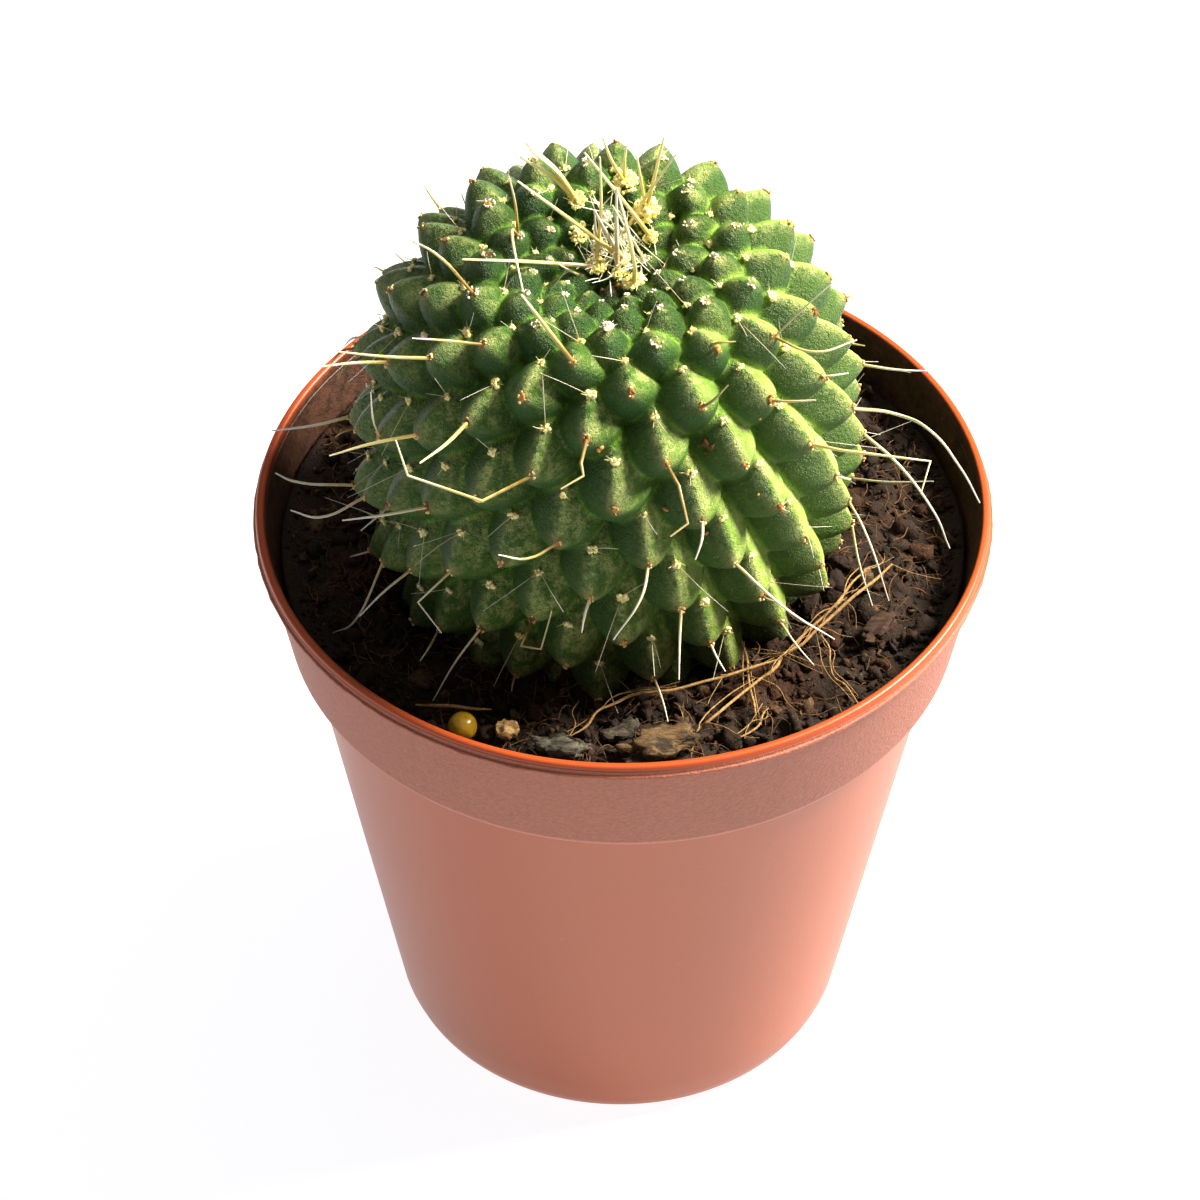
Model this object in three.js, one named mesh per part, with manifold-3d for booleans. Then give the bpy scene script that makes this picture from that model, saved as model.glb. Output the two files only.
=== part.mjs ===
// A round cactus with pointed tubercles in a small moulded plastic pot.
// Millimetres, +Z up, origin at the middle of the pot's base on the ground.
import * as THREE from "three";
import { mergeVertices } from "three/addons/utils/BufferGeometryUtils.js";
import Module from "manifold-3d";

const wasm = await Module();
wasm.setup();

// ---- driving dimensions -------------------------------------------------------------

const pot = {
  height: 60,
  rimRadius: 32.5,
  wall: 0.7,
  lipHeight: 1.05,
  lipOverhang: 0.55,
  collarHeight: 12.7,
  collarFootRadius: 30,
  bodyTopRadius: 28.55,
  baseRadius: 20.6,
  footCorner: 2.5,
  footRingInnerRadius: 16.6,
  baseRise: 1.2,
  floor: 0.9,
  edge: 0.3,
  notches: 6,
  notchRadius: 2,
  notchCentreHeight: 0.6,
  notchAngle: -33,
  segments: 64,
};

const soil = {
  level: 55.2,
  gap: 0.3,
  bump: 0.45,
  shoulder: 2,
  segments: 40,
  rings: 9,
};

// The stem is a barrel with a sunken crown. Its tubercles sit in golden-angle order.
const stem = {
  centre: [-1.45, -2.75, 70.3],
  lean: 7.85,
  radius: 20.6,
  halfHeight: 27,
  squareness: 2.43,
  crownSink: 6.7,
  crownWidth: 0.375,
  oval: 1.08,
  buriedDepth: -20,
  heelDepth: -21.6,
  grooveShare: 0.5,
  grooveLimit: 2.7,
  segments: 54,
  rings: 42,
};

const lattice = {
  turn: 137.489,
  firstAngle: 0.74,
  count: 215,
  youngArea: 3.25,
  grownArea: 34.65,
  growthSpan: 55,
  growthPower: 2.24,
};

const spineRadius = 0.15;
const spineClearance = 0.4;

// Each spine stands on a numbered tubercle. Its route is in millimetres from the
// areole: out from the stem, along it to the right, and up towards the crown.
const spines = {
  crown_spine_1: { tubercle: 27, route: [[8.5, -4.5, 3.5]] },
  crown_spine_2: { tubercle: 3, route: [[12.5, -6, -2]] },
  crown_spine_3: { tubercle: 1, route: [[6, -11.5, 5.5]] },
  crown_spine_4: { tubercle: 16, route: [[11, -4, 1.5]] },
  crown_spine_5: { tubercle: 5, route: [[9, 4.5, 6], [13, 3, 5.5]] },
  crown_spine_6: { tubercle: 32, route: [[7.5, -1.5, 0.5]] },
  crown_spine_7: { tubercle: 24, route: [[7, -0.5, 2.5]] },
  crown_spine_8: { tubercle: 24, route: [[7, 1, 5]] },
  golden_spine: { tubercle: 49, route: [[3.5, -3, 2.5], [5, -4.5, 3.5]] },
  shoulder_spine_1: { tubercle: 46, route: [[5, -1.5, -1], [6, -3, -2]] },
  shoulder_spine_2: { tubercle: 30, route: [[7, -6.5, 1], [7.5, -11.5, -1.5]] },
  left_spine_1: { tubercle: 67, route: [[5.5, -4, -3]] },
  left_spine_2: { tubercle: 80, route: [[6, 0.5, -0.5]] },
  left_spine_3: { tubercle: 54, route: [[4, -3.5, -2.5]] },
  left_spine_4: { tubercle: 127, route: [[6.5, 1.5, -0.5]] },
  left_spine_5: { tubercle: 88, route: [[5, -4, -3.5]] },
  left_spine_6: { tubercle: 75, route: [[5, -0.5, -2.5]] },
  left_spine_7: { tubercle: 109, route: [[4.5, -5, -2]] },
  left_spine_8: { tubercle: 135, route: [[4, 0, -0.5], [6, -1, 0]] },
  left_spine_9: { tubercle: 148, route: [[5, -0.5, 1], [6.5, -1, 2]] },
  bent_spine: { tubercle: 83, route: [[3, -3, -1.5], [4.5, -9, 0], [5, -10.5, 3]] },
  kinked_spine_1: { tubercle: 70, route: [[2.5, 0, -1], [3, 0, -2], [4.5, -1.5, -3]] },
  kinked_spine_2: { tubercle: 78, route: [[3, 0.5, -0.5], [4.5, 0.5, -3.5], [4.5, -1, -4]] },
  lower_spine_1: { tubercle: 156, route: [[4, 2, -3], [5.5, -0.5, -6.5]] },
  lower_spine_2: { tubercle: 143, route: [[5.5, 0, -1.5]] },
  lower_spine_3: { tubercle: 130, route: [[3, -1, -2], [3, 1, -4.5]] },
  lower_spine_4: { tubercle: 151, route: [[4.5, -2.5, -6.5]] },
  lower_spine_5: { tubercle: 112, route: [[2.5, -1, -1], [4, -3.5, -4]] },
  lower_spine_6: { tubercle: 133, route: [[4.5, -1.5, -3.5]] },
  lower_spine_7: { tubercle: 120, route: [[4, 2, -2.5], [5, 7, -8.5]] },
  right_spine_1: { tubercle: 60, route: [[3, 0, -2.5], [4.5, 3, -4]] },
  right_spine_2: { tubercle: 102, route: [[3, 2, -2.5], [6, 0.5, -2.5], [8.3, 0, -6], [9.2, 1, -11.5]] },
  right_spine_3: { tubercle: 123, route: [[3, -1.5, -1.5], [6, -4, -3], [7.5, -2.5, -11]] },
  right_spine_4: { tubercle: 94, route: [[3, 0, 0.5], [9.9, 3, -0.5], [9.9, 1, -2.5]] },
  right_spine_5: { tubercle: 136, route: [[3, -3.5, 1], [5.5, -5, -5]] },
};

const woolTufts = {
  crown_wool_1: { tubercle: 14, radius: 0.8 },
  crown_wool_2: { tubercle: 24, radius: 1.2 },
  crown_wool_3: { tubercle: 32, radius: 1.1 },
  crown_wool_4: { tubercle: 5, radius: 1 },
};

const woolRise = 0.5;
const rootRadius = 0.22;

// Dry root strands lying over the soil, as points in millimetres above the ground.
const roots = {
  root_strand_1: [[23.5, -6.5, 58.4], [20.4, -10, 58], [16.6, -14.2, 57.8], [14, -17.1, 57.6],
    [12.1, -19.7, 57.3], [7.4, -24.5, 56.9], [6.2, -25, 56.5]],
  root_strand_2: [[21.1, -6.4, 57.6], [18.9, -9.8, 57.2], [17.2, -12.2, 57]],
  root_strand_3: [[12.6, -18.3, 57], [8.6, -19.9, 57.2], [4.7, -20.8, 57.2], [1, -21.6, 57],
    [-1.8, -23.4, 56.8], [-4.3, -25.9, 56.6]],
  root_strand_4: [[10.7, -16.8, 56.6], [11, -20, 56.3], [11.5, -23.6, 56.2]],
  root_strand_5: [[17.9, -14.6, 56.5], [18.2, -18.4, 56.4], [20.2, -21.5, 56.2]],
  root_strand_6: [[10.3, -26.1, 56.5], [12.7, -22.7, 56.7]],
  straw: [[-17.5, -22.4, 56.3], [-14.3, -22.8, 56.6], [-11, -22.9, 56.4]],
};

// Pieces of bark lying on the soil: place, size, and turn about Z, in degrees.
const barkPieces = {
  bark_chip: { at: [3.2, -27.2, 57], size: [6, 2.6, 1.5], turn: 22, colour: 0x7a5a3c },
  bark_flake_1: { at: [-5, -27.2, 56.6], size: [4.4, 1.9, 0.9], turn: -12, colour: 0x6d6a5e },
  bark_flake_2: { at: [0.2, -24.8, 56.1], size: [3.2, 1.5, 0.8], turn: 30, colour: 0x55503f },
  bark_flake_3: { at: [22.4, -12.2, 56.5], size: [4.6, 2, 1], turn: 60, colour: 0x5c4330 },
  perlite_grain: { at: [-9.6, -25.2, 56.4], size: [2, 1.4, 1.1], turn: 15, colour: 0xcdbb96 },
};

const fertilizerBead = { at: [-13.4, -25.1, 57.1], radius: 1.25 };

// ---- helpers -----------------------------------------------------------------------

const degrees = Math.PI / 180;
const up = new THREE.Vector3(0, 0, 1);

function material(color, roughness, metalness = 0) {
  return new THREE.MeshStandardMaterial({ color, roughness, metalness });
}

function piece(name, geometry, finish) {
  const mesh = new THREE.Mesh(geometry, finish);
  mesh.name = name;
  return mesh;
}

function welded(geometry) {
  const bare = geometry.clone();
  bare.deleteAttribute("normal");
  bare.deleteAttribute("uv");
  return mergeVertices(bare, 1e-4);
}

function toSolid(geometry) {
  const bare = welded(geometry);
  const mesh = new wasm.Mesh({
    numProp: 3,
    vertProperties: new Float32Array(bare.attributes.position.array),
    triVerts: new Uint32Array(bare.index.array),
  });
  mesh.merge();
  return new wasm.Manifold(mesh);
}

function toGeometry(solid) {
  const mesh = solid.getMesh();
  const geometry = new THREE.BufferGeometry();
  geometry.setAttribute("position", new THREE.BufferAttribute(mesh.vertProperties, 3));
  geometry.setIndex(new THREE.BufferAttribute(mesh.triVerts, 1));
  geometry.computeVertexNormals();
  return geometry;
}

// A turned shape about +Z from [radius, height] points that start and end on the axis.
function turned(outline, segments) {
  const points = outline.map(([radius, height]) => new THREE.Vector2(radius, height));
  const geometry = new THREE.LatheGeometry(points, segments);
  geometry.rotateX(Math.PI / 2);
  return geometry;
}

// A thin round strand along a smooth curve through the points.
function strand(points, radius, stepsPerSpan) {
  const curve = new THREE.CatmullRomCurve3(points, false, "centripetal");
  const section = new THREE.Shape();
  const sides = 6;
  for (let side = 0; side < sides; side++) {
    const angle = (side * 2 * Math.PI) / sides;
    const x = radius * Math.cos(angle);
    const y = radius * Math.sin(angle);
    if (side === 0) section.moveTo(x, y);
    else section.lineTo(x, y);
  }
  section.closePath();
  const steps = Math.max(2, (points.length - 1) * stepsPerSpan);
  return new THREE.ExtrudeGeometry(section, { steps, extrudePath: curve, bevelEnabled: false });
}

// ---- pot ---------------------------------------------------------------------------

const collarFootHeight = pot.height - pot.collarHeight;
const lipFootHeight = pot.height - pot.lipHeight;
const floorTop = pot.baseRise + pot.floor;

function footArc(radius, innerRadius, lowest, steps) {
  const points = [];
  for (let step = 0; step <= steps; step++) {
    const angle = (step / steps) * (Math.PI / 2);
    points.push([
      innerRadius + radius * Math.sin(angle),
      lowest + radius * (1 - Math.cos(angle)),
    ]);
  }
  return points;
}

function potOutline() {
  const cornerInner = pot.baseRadius - pot.footCorner;
  const innerCorner = pot.footCorner - pot.wall;
  const outside = [
    [0, pot.baseRise],
    [pot.footRingInnerRadius - pot.edge, pot.baseRise],
    [pot.footRingInnerRadius, 0],
    ...footArc(pot.footCorner, cornerInner, 0, 4),
    [pot.bodyTopRadius, collarFootHeight],
    [pot.collarFootRadius - pot.edge, collarFootHeight],
    [pot.collarFootRadius, collarFootHeight + pot.edge],
    [pot.rimRadius - pot.lipOverhang, lipFootHeight],
    [pot.rimRadius - pot.edge / 2, lipFootHeight],
    [pot.rimRadius, lipFootHeight + pot.edge],
    [pot.rimRadius, pot.height - pot.edge],
    [pot.rimRadius - pot.edge, pot.height],
  ];
  const inside = [
    [pot.rimRadius - pot.lipOverhang - pot.wall + pot.edge, pot.height],
    [pot.rimRadius - pot.lipOverhang - pot.wall, pot.height - pot.edge],
    [pot.collarFootRadius - pot.wall, collarFootHeight + 2 * pot.edge],
    [pot.bodyTopRadius - pot.wall, collarFootHeight - pot.edge],
    ...footArc(innerCorner, cornerInner, floorTop, 3).reverse(),
    [0, floorTop],
  ];
  return [...outside, ...inside];
}

// Arched drainage notches through the foot ring, one of them facing front right.
function potGeometry() {
  let solid = toSolid(turned(potOutline(), pot.segments));
  const notchLength = 2 * pot.footCorner + 2;
  for (let notch = 0; notch < pot.notches; notch++) {
    const cutter = new THREE.CylinderGeometry(pot.notchRadius, pot.notchRadius, notchLength, 16);
    cutter.rotateZ(Math.PI / 2);
    cutter.translate(pot.baseRadius, 0, pot.notchCentreHeight);
    cutter.rotateZ((pot.notchAngle + (notch * 360) / pot.notches) * degrees);
    solid = solid.subtract(toSolid(cutter));
  }
  return toGeometry(solid);
}

// ---- stem --------------------------------------------------------------------------

const stemFrame = new THREE.Matrix4()
  .makeTranslation(...stem.centre)
  .multiply(new THREE.Matrix4().makeRotationX(stem.lean * degrees));

// The surface through the tubercle tips, walked from the crown down.
function stemProfile(steps) {
  const rows = [];
  let length = 0;
  let area = 0;
  for (let step = 0; step <= steps; step++) {
    const polar = (step / steps) * 0.86 * Math.PI;
    const sine = Math.sin(polar) ** (2 / stem.squareness);
    const cosine = Math.sign(Math.cos(polar)) * Math.abs(Math.cos(polar)) ** (2 / stem.squareness);
    const radius = stem.radius * sine;
    const crown = Math.exp(-((radius / (stem.crownWidth * stem.radius)) ** 2));
    const height = stem.halfHeight * cosine - (polar < Math.PI / 2 ? stem.crownSink * crown : 0);
    if (step > 0) {
      const last = rows[step - 1];
      const stride = Math.hypot(radius - last.radius, height - last.height);
      length += stride;
      area += Math.PI * (radius + last.radius) * stride;
    }
    rows.push({ radius, height, length, area });
  }
  return rows;
}

const profile = stemProfile(400);

function profileAt(key, value) {
  let low = 0;
  let high = profile.length - 1;
  while (high - low > 1) {
    const middle = (low + high) >> 1;
    if (profile[middle][key] <= value) low = middle;
    else high = middle;
  }
  const a = profile[low];
  const b = profile[high];
  const share = (value - a[key]) / (b[key] - a[key]);
  return {
    radius: a.radius + (b.radius - a.radius) * share,
    height: a.height + (b.height - a.height) * share,
    outward: [a.height - b.height, b.radius - a.radius],
  };
}

function stemPoint(row, angle) {
  return new THREE.Vector3(
    row.radius * Math.cos(angle) * stem.oval, row.radius * Math.sin(angle), row.height);
}

function stemNormal(row, angle) {
  const [radial, axial] = row.outward;
  return new THREE.Vector3(
    (radial * Math.cos(angle)) / stem.oval, radial * Math.sin(angle), axial).normalize();
}

// Tubercles grow from the crown: each takes its share of area at the next golden turn.
function growTubercles() {
  const tips = [];
  let areaSoFar = 0;
  for (let number = 0; number < lattice.count; number++) {
    const growth = 1 - Math.exp(-((number / lattice.growthSpan) ** lattice.growthPower));
    const share = lattice.youngArea + lattice.grownArea * growth;
    areaSoFar += share;
    const row = profileAt("area", areaSoFar - share / 2);
    const angle = (lattice.firstAngle + lattice.turn * number) * degrees;
    tips.push({
      point: stemPoint(row, angle),
      normal: stemNormal(row, angle),
      spacing: Math.sqrt(share),
    });
  }
  return tips;
}

const tubercles = growTubercles();

// How far the skin lies below the tips: nothing at a tip, deepest between two of them.
function grooveDepth(point) {
  let nearest = Infinity;
  let second = Infinity;
  let spacing = 1;
  for (const tip of tubercles) {
    const distance = tip.point.distanceTo(point);
    if (distance < nearest) {
      second = nearest;
      nearest = distance;
      spacing = tip.spacing;
    } else if (distance < second) {
      second = distance;
    }
  }
  const share = (2 * nearest) / (nearest + second);
  const deepest = Math.min(stem.grooveShare * spacing, stem.grooveLimit);
  return deepest * share ** 1.4;
}

function stemGeometry() {
  const buriedLength = profile.find((row) => row.height < stem.buriedDepth).length;
  const outline = [[0, profile[0].height]];
  for (let ring = 1; ring <= stem.rings; ring++) {
    const row = profileAt("length", (ring / stem.rings) * buriedLength);
    outline.push([row.radius, row.height]);
  }
  outline.push([0, stem.heelDepth]);
  const geometry = turned([...outline].reverse(), stem.segments);
  geometry.scale(stem.oval, 1, 1);
  const position = geometry.attributes.position;
  const point = new THREE.Vector3();
  const middle = new THREE.Vector3();
  for (let index = 0; index < position.count; index++) {
    point.fromBufferAttribute(position, index);
    middle.set(0, 0, THREE.MathUtils.clamp(point.z, -10, 10));
    if (point.z < stem.buriedDepth - 1) continue;
    const inward = middle.sub(point).normalize();
    point.addScaledVector(inward, grooveDepth(point));
    position.setXYZ(index, point.x, point.y, point.z);
  }
  geometry.applyMatrix4(stemFrame);
  return geometry;
}

// The smooth barrel that the stem presses into the soil, a gap larger all round.
function stemSocket() {
  const buried = profile.filter((row) => row.height < 0 && row.height > stem.buriedDepth);
  const widened = buried.map((row) => [row.radius + 2 * soil.gap, row.height - soil.gap]);
  const outline = [[0, stem.heelDepth - 2 * soil.gap]];
  outline.push([widened.at(-1)[0], stem.buriedDepth - 2 * soil.gap]);
  for (let step = widened.length - 1; step > 0; step -= 8) outline.push(widened[step]);
  outline.push([0, outline.at(-1)[1]]);
  const geometry = turned(outline, stem.segments);
  geometry.scale(stem.oval, 1, 1);
  geometry.applyMatrix4(stemFrame);
  return toSolid(geometry);
}

// ---- soil --------------------------------------------------------------------------

function soilBumps(x, y) {
  return soil.bump * (Math.sin(0.9 * x + 0.4 * y) + Math.sin(1.1 * y - 0.5 * x + 1.7)) / 2;
}

function potInnerRadius(height) {
  if (height > collarFootHeight) {
    const widening = pot.rimRadius - pot.lipOverhang - pot.collarFootRadius;
    const share = (height - collarFootHeight) / (lipFootHeight - collarFootHeight);
    return pot.collarFootRadius + share * widening - pot.wall;
  }
  const share = (height - 2 * pot.footCorner) / (collarFootHeight - 2 * pot.footCorner);
  return pot.baseRadius + share * (pot.bodyTopRadius - pot.baseRadius) - pot.wall;
}

function soilGeometry() {
  const bottom = floorTop + soil.gap;
  const edgeHeight = soil.level - soil.bump;
  const edgeRadius = potInnerRadius(edgeHeight) - 2 * soil.gap;
  const heights = [
    2 * pot.footCorner,
    collarFootHeight - soil.shoulder,
    collarFootHeight + soil.shoulder,
  ];
  const side = heights.map((height) => [potInnerRadius(height) - 2 * soil.gap, height]);
  const outline = [[0, bottom], [pot.baseRadius - pot.footCorner, bottom], ...side];
  outline.push([edgeRadius, edgeHeight]);
  for (let ring = 1; ring < soil.rings; ring++) {
    outline.push([edgeRadius * (1 - ring / soil.rings), soil.level]);
  }
  outline.push([0, soil.level]);
  const geometry = turned(outline, soil.segments);
  const position = geometry.attributes.position;
  for (let index = 0; index < position.count; index++) {
    if (position.getZ(index) < soil.level) continue;
    const x = position.getX(index);
    const y = position.getY(index);
    position.setZ(index, soil.level + soilBumps(x, y));
  }
  return toGeometry(toSolid(geometry).subtract(stemSocket()));
}

// ---- spines, wool and litter ---------------------------------------------------------

// A point given from an areole: out, along and up, in the leaning stem's own frame.
function fromAreole(tip, [out, along, upward]) {
  const side = up.clone().cross(tip.normal).normalize();
  const rise = tip.normal.clone().cross(side);
  return tip.point.clone()
    .addScaledVector(tip.normal, out)
    .addScaledVector(side, along)
    .addScaledVector(rise, upward)
    .applyMatrix4(stemFrame);
}

// A spine starts just clear of the skin, or of the wool where its areole has a tuft.
function spineGeometry({ tubercle, route }) {
  const tip = tubercles[tubercle];
  const tuft = Object.values(woolTufts).find((wool) => wool.tubercle === tubercle);
  const clearance = tuft ? woolRise + 1.8 * tuft.radius + spineClearance : spineClearance;
  const [out, along, upward] = route[0];
  const share = clearance / Math.hypot(out, along, upward);
  const root = [out * share + spineClearance / 2, along * share, upward * share];
  const points = [root, ...route].map((offset) => fromAreole(tip, offset));
  return strand(points, spineRadius, route.length > 1 ? 3 : 2);
}

function woolGeometry({ tubercle, radius }) {
  const geometry = new THREE.IcosahedronGeometry(radius, 1);
  geometry.scale(1, 1, 0.7);
  const middle = fromAreole(tubercles[tubercle], [0.7 * radius + woolRise, 0, 0]);
  geometry.translate(middle.x, middle.y, middle.z);
  return geometry;
}

function barkGeometry({ at, size, turn }) {
  const [length, width, thickness] = size;
  const outline = new THREE.Shape();
  outline.moveTo(-0.5 * length, -0.1 * width);
  outline.lineTo(-0.2 * length, -0.5 * width);
  outline.lineTo(0.3 * length, -0.42 * width);
  outline.lineTo(0.5 * length, 0.1 * width);
  outline.lineTo(0.15 * length, 0.5 * width);
  outline.lineTo(-0.35 * length, 0.38 * width);
  outline.closePath();
  const geometry = new THREE.ExtrudeGeometry(outline, { depth: thickness, bevelEnabled: false });
  geometry.translate(0, 0, -thickness / 2);
  geometry.rotateZ(turn * degrees);
  geometry.translate(...at);
  return geometry;
}

// ---- assembly ------------------------------------------------------------------------

const finishes = {
  plastic: material(0xb06a4e, 0.45),
  peat: material(0x2b211a, 0.95),
  skin: material(0x3f6a2c, 0.5),
  wool: material(0xe9dda0, 0.9),
  spine: material(0xe3cf94, 0.45),
  root: material(0xb58a4a, 0.8),
  bead: material(0xb79a2c, 0.3),
};

const plant = new THREE.Group();
plant.add(piece("pot", potGeometry(), finishes.plastic));
plant.add(piece("potting_soil", soilGeometry(), finishes.peat));
plant.add(piece("cactus_stem", stemGeometry(), finishes.skin));

for (const [name, tuft] of Object.entries(woolTufts)) {
  plant.add(piece(name, woolGeometry(tuft), finishes.wool));
}
for (const [name, spine] of Object.entries(spines)) {
  plant.add(piece(name, spineGeometry(spine), finishes.spine));
}
for (const [name, points] of Object.entries(roots)) {
  const route = points.map((point) => new THREE.Vector3(...point));
  plant.add(piece(name, strand(route, rootRadius, 2), finishes.root));
}
for (const [name, bark] of Object.entries(barkPieces)) {
  plant.add(piece(name, barkGeometry(bark), material(bark.colour, 0.9)));
}

const bead = piece(
  "fertilizer_bead", new THREE.SphereGeometry(fertilizerBead.radius, 14, 10), finishes.bead);
bead.position.set(...fertilizerBead.at);
plant.add(bead);

export default plant;
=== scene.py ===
import math
import random

import bmesh
import bpy
import numpy as np
from mathutils import Euler, Matrix, Quaternion, Vector, noise


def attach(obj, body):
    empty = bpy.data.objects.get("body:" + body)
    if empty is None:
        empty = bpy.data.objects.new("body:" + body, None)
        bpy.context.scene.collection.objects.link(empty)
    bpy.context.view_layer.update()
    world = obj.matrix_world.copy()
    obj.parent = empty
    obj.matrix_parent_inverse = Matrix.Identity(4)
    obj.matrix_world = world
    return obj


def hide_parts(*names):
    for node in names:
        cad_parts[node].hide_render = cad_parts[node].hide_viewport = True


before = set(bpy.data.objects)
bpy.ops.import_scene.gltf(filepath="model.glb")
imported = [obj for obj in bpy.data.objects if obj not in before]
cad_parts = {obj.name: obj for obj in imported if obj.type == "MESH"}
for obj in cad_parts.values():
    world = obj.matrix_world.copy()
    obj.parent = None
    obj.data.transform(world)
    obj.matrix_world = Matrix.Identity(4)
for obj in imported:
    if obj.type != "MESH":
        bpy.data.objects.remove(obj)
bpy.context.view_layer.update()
scene = bpy.context.scene
mm = 0.001  # sizes below are in millimetres, in the frame of the CAD
print("frame loaded:", len(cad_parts), "nodes")


# helpers for nodes

def paint(red, green, blue):
    # an sRGB colour of 0 to 255 as the linear colour that sockets hold
    def linear(value):
        share = value / 255
        return share / 12.92 if share <= 0.04045 else ((share + 0.055) / 1.055) ** 2.4
    return (linear(red), linear(green), linear(blue), 1.0)


def addNode(tree, kind, inputs=None, **settings):
    node = tree.nodes.new(kind)
    for name, value in settings.items():
        setattr(node, name, value)
    for name, value in (inputs or {}).items():
        plug(value, node.inputs[name])
    return node


def plug(value, socket):
    # a link where the value comes from another node, or else a number or colour of its own
    if isinstance(value, bpy.types.NodeSocket):
        socket.id_data.links.new(value, socket)
    else:
        socket.default_value = value


def treeOf(*values):
    return next(value.id_data for value in values if isinstance(value, bpy.types.NodeSocket))


def mixColours(share, first, second):
    return addNode(treeOf(share), "ShaderNodeMix", {0: share, 6: first, 7: second}, data_type="RGBA",
                   clamp_factor=True).outputs[2]


def layCoats(colour, *coats):
    # each coat is the share of the surface that it covers, and its paint
    for share, cover in coats:
        colour = mixColours(share, colour, cover)
    return colour


def mathNode(operation, first, second, third=0.0, clamp=False):
    return addNode(treeOf(first, second), "ShaderNodeMath", {0: first, 1: second, 2: third},
                   operation=operation, use_clamp=clamp).outputs[0]


def times(first, *others):
    for other in others:
        first = mathNode("MULTIPLY", first, other)
    return first


def plus(first, second, clamp=False):
    return mathNode("ADD", first, second, clamp=clamp)


def minus(first, second, clamp=False):
    return mathNode("SUBTRACT", first, second, clamp=clamp)


def larger(first, second):
    return mathNode("MAXIMUM", first, second)


def rampMask(value, low, high):
    # 0 at low, 1 at high, smooth between them
    return addNode(treeOf(value), "ShaderNodeMapRange", {"Value": value, "From Min": low, "From Max": high},
                   interpolation_type="SMOOTHSTEP").outputs["Result"]


def noiseMask(place, scale, detail=3.0, roughness=0.55):
    return addNode(place.id_data, "ShaderNodeTexNoise",
                   {"Vector": place, "Scale": scale, "Detail": detail, "Roughness": roughness}).outputs["Fac"]


def partsOf(place):
    return addNode(place.id_data, "ShaderNodeSeparateXYZ", {0: place}).outputs


def attributeMask(shader, name):
    return addNode(shader.id_data, "ShaderNodeAttribute", attribute_name=name).outputs["Fac"]


def newMaterial(name, roughness=0.5, specular=0.5):
    material = bpy.data.materials.new(name)
    material.use_nodes = True
    shader = material.node_tree.nodes["Principled BSDF"]
    shader.inputs["Roughness"].default_value = roughness
    shader.inputs["Specular IOR Level"].default_value = specular
    return material, shader, addNode(material.node_tree, "ShaderNodeTexCoord").outputs["Object"]


def paintOn(shader, colour, rough=None):
    plug(colour, shader.inputs["Base Color"])
    if rough is not None:
        plug(rough, shader.inputs["Roughness"])


def glowThrough(shader, weight, radius, scale):
    # light that goes a little way into the piece and comes out again
    shader.inputs["Subsurface Weight"].default_value = weight
    shader.inputs["Subsurface Radius"].default_value = radius
    shader.inputs["Subsurface Scale"].default_value = scale * mm


def bumpFrom(shader, height, distance, strength=1.0):
    bump = addNode(shader.id_data, "ShaderNodeBump",
                   {"Height": height, "Distance": distance * mm, "Strength": strength})
    plug(bump.outputs["Normal"], shader.inputs["Normal"])


def grainyMaterial(name, roughness, specular, size, contrast, bump):
    # a finish with a fine grain in its relief; the grain's mask is there for its colours
    material, shader, place = newMaterial(name, roughness, specular)
    grain = placeGroup(fineGrain, place, Size=size, Contrast=contrast)
    bumpFrom(shader, grain["Height"], *bump)
    return material, shader, place, grain["Mask"]


def newGroup(name, values, outputs):
    # each group takes a place and some named numbers
    group = bpy.data.node_groups.new(name, "ShaderNodeTree")
    group.interface.new_socket(name="Place", in_out="INPUT", socket_type="NodeSocketVector")
    for socket, value in values.items():
        made = group.interface.new_socket(name=socket, in_out="INPUT", socket_type="NodeSocketFloat")
        made.default_value = value
    for socket in outputs:
        group.interface.new_socket(name=socket, in_out="OUTPUT", socket_type="NodeSocketFloat")
    return group, group.nodes.new("NodeGroupInput").outputs, group.nodes.new("NodeGroupOutput").inputs


def placeGroup(group, place, **values):
    node = place.id_data.nodes.new("ShaderNodeGroup")
    node.node_tree = group
    plug(place, node.inputs["Place"])
    for name, value in values.items():
        plug(value, node.inputs[name])
    return node.outputs


# effects that several materials share

def makeGrain():
    # fine uneven grain: a height for bump and a mask for colour
    group, given, results = newGroup("fineGrain", {"Size": 0.5, "Contrast": 1.0}, ["Height", "Mask"])
    scale = mathNode("DIVIDE", 1 / mm, given["Size"])
    coarse = noiseMask(given["Place"], scale, 4.0, 0.6)
    finer = noiseMask(given["Place"], times(scale, 2.7), 2.0)
    height = mathNode("MULTIPLY_ADD", finer, 0.5, coarse)
    plug(height, results["Height"])
    plug(plus(times(minus(height, 0.75), given["Contrast"]), 0.5, clamp=True), results["Mask"])
    return group


def makeSpecks():
    # round specks scattered over a surface
    group, given, results = newGroup("scatteredSpecks", {"Spacing": 0.5, "Share": 0.3}, ["Mask"])
    scale = mathNode("DIVIDE", 1 / mm, given["Spacing"])
    cells = addNode(group, "ShaderNodeTexVoronoi",
                    {"Vector": given["Place"], "Scale": scale, "Randomness": 1.0})
    dot = minus(given["Share"], cells.outputs["Distance"])
    plug(mathNode("MULTIPLY", dot, 6.0, clamp=True), results["Mask"])
    return group


fineGrain = makeGrain()
scatteredSpecks = makeSpecks()


# helpers for meshes

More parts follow.
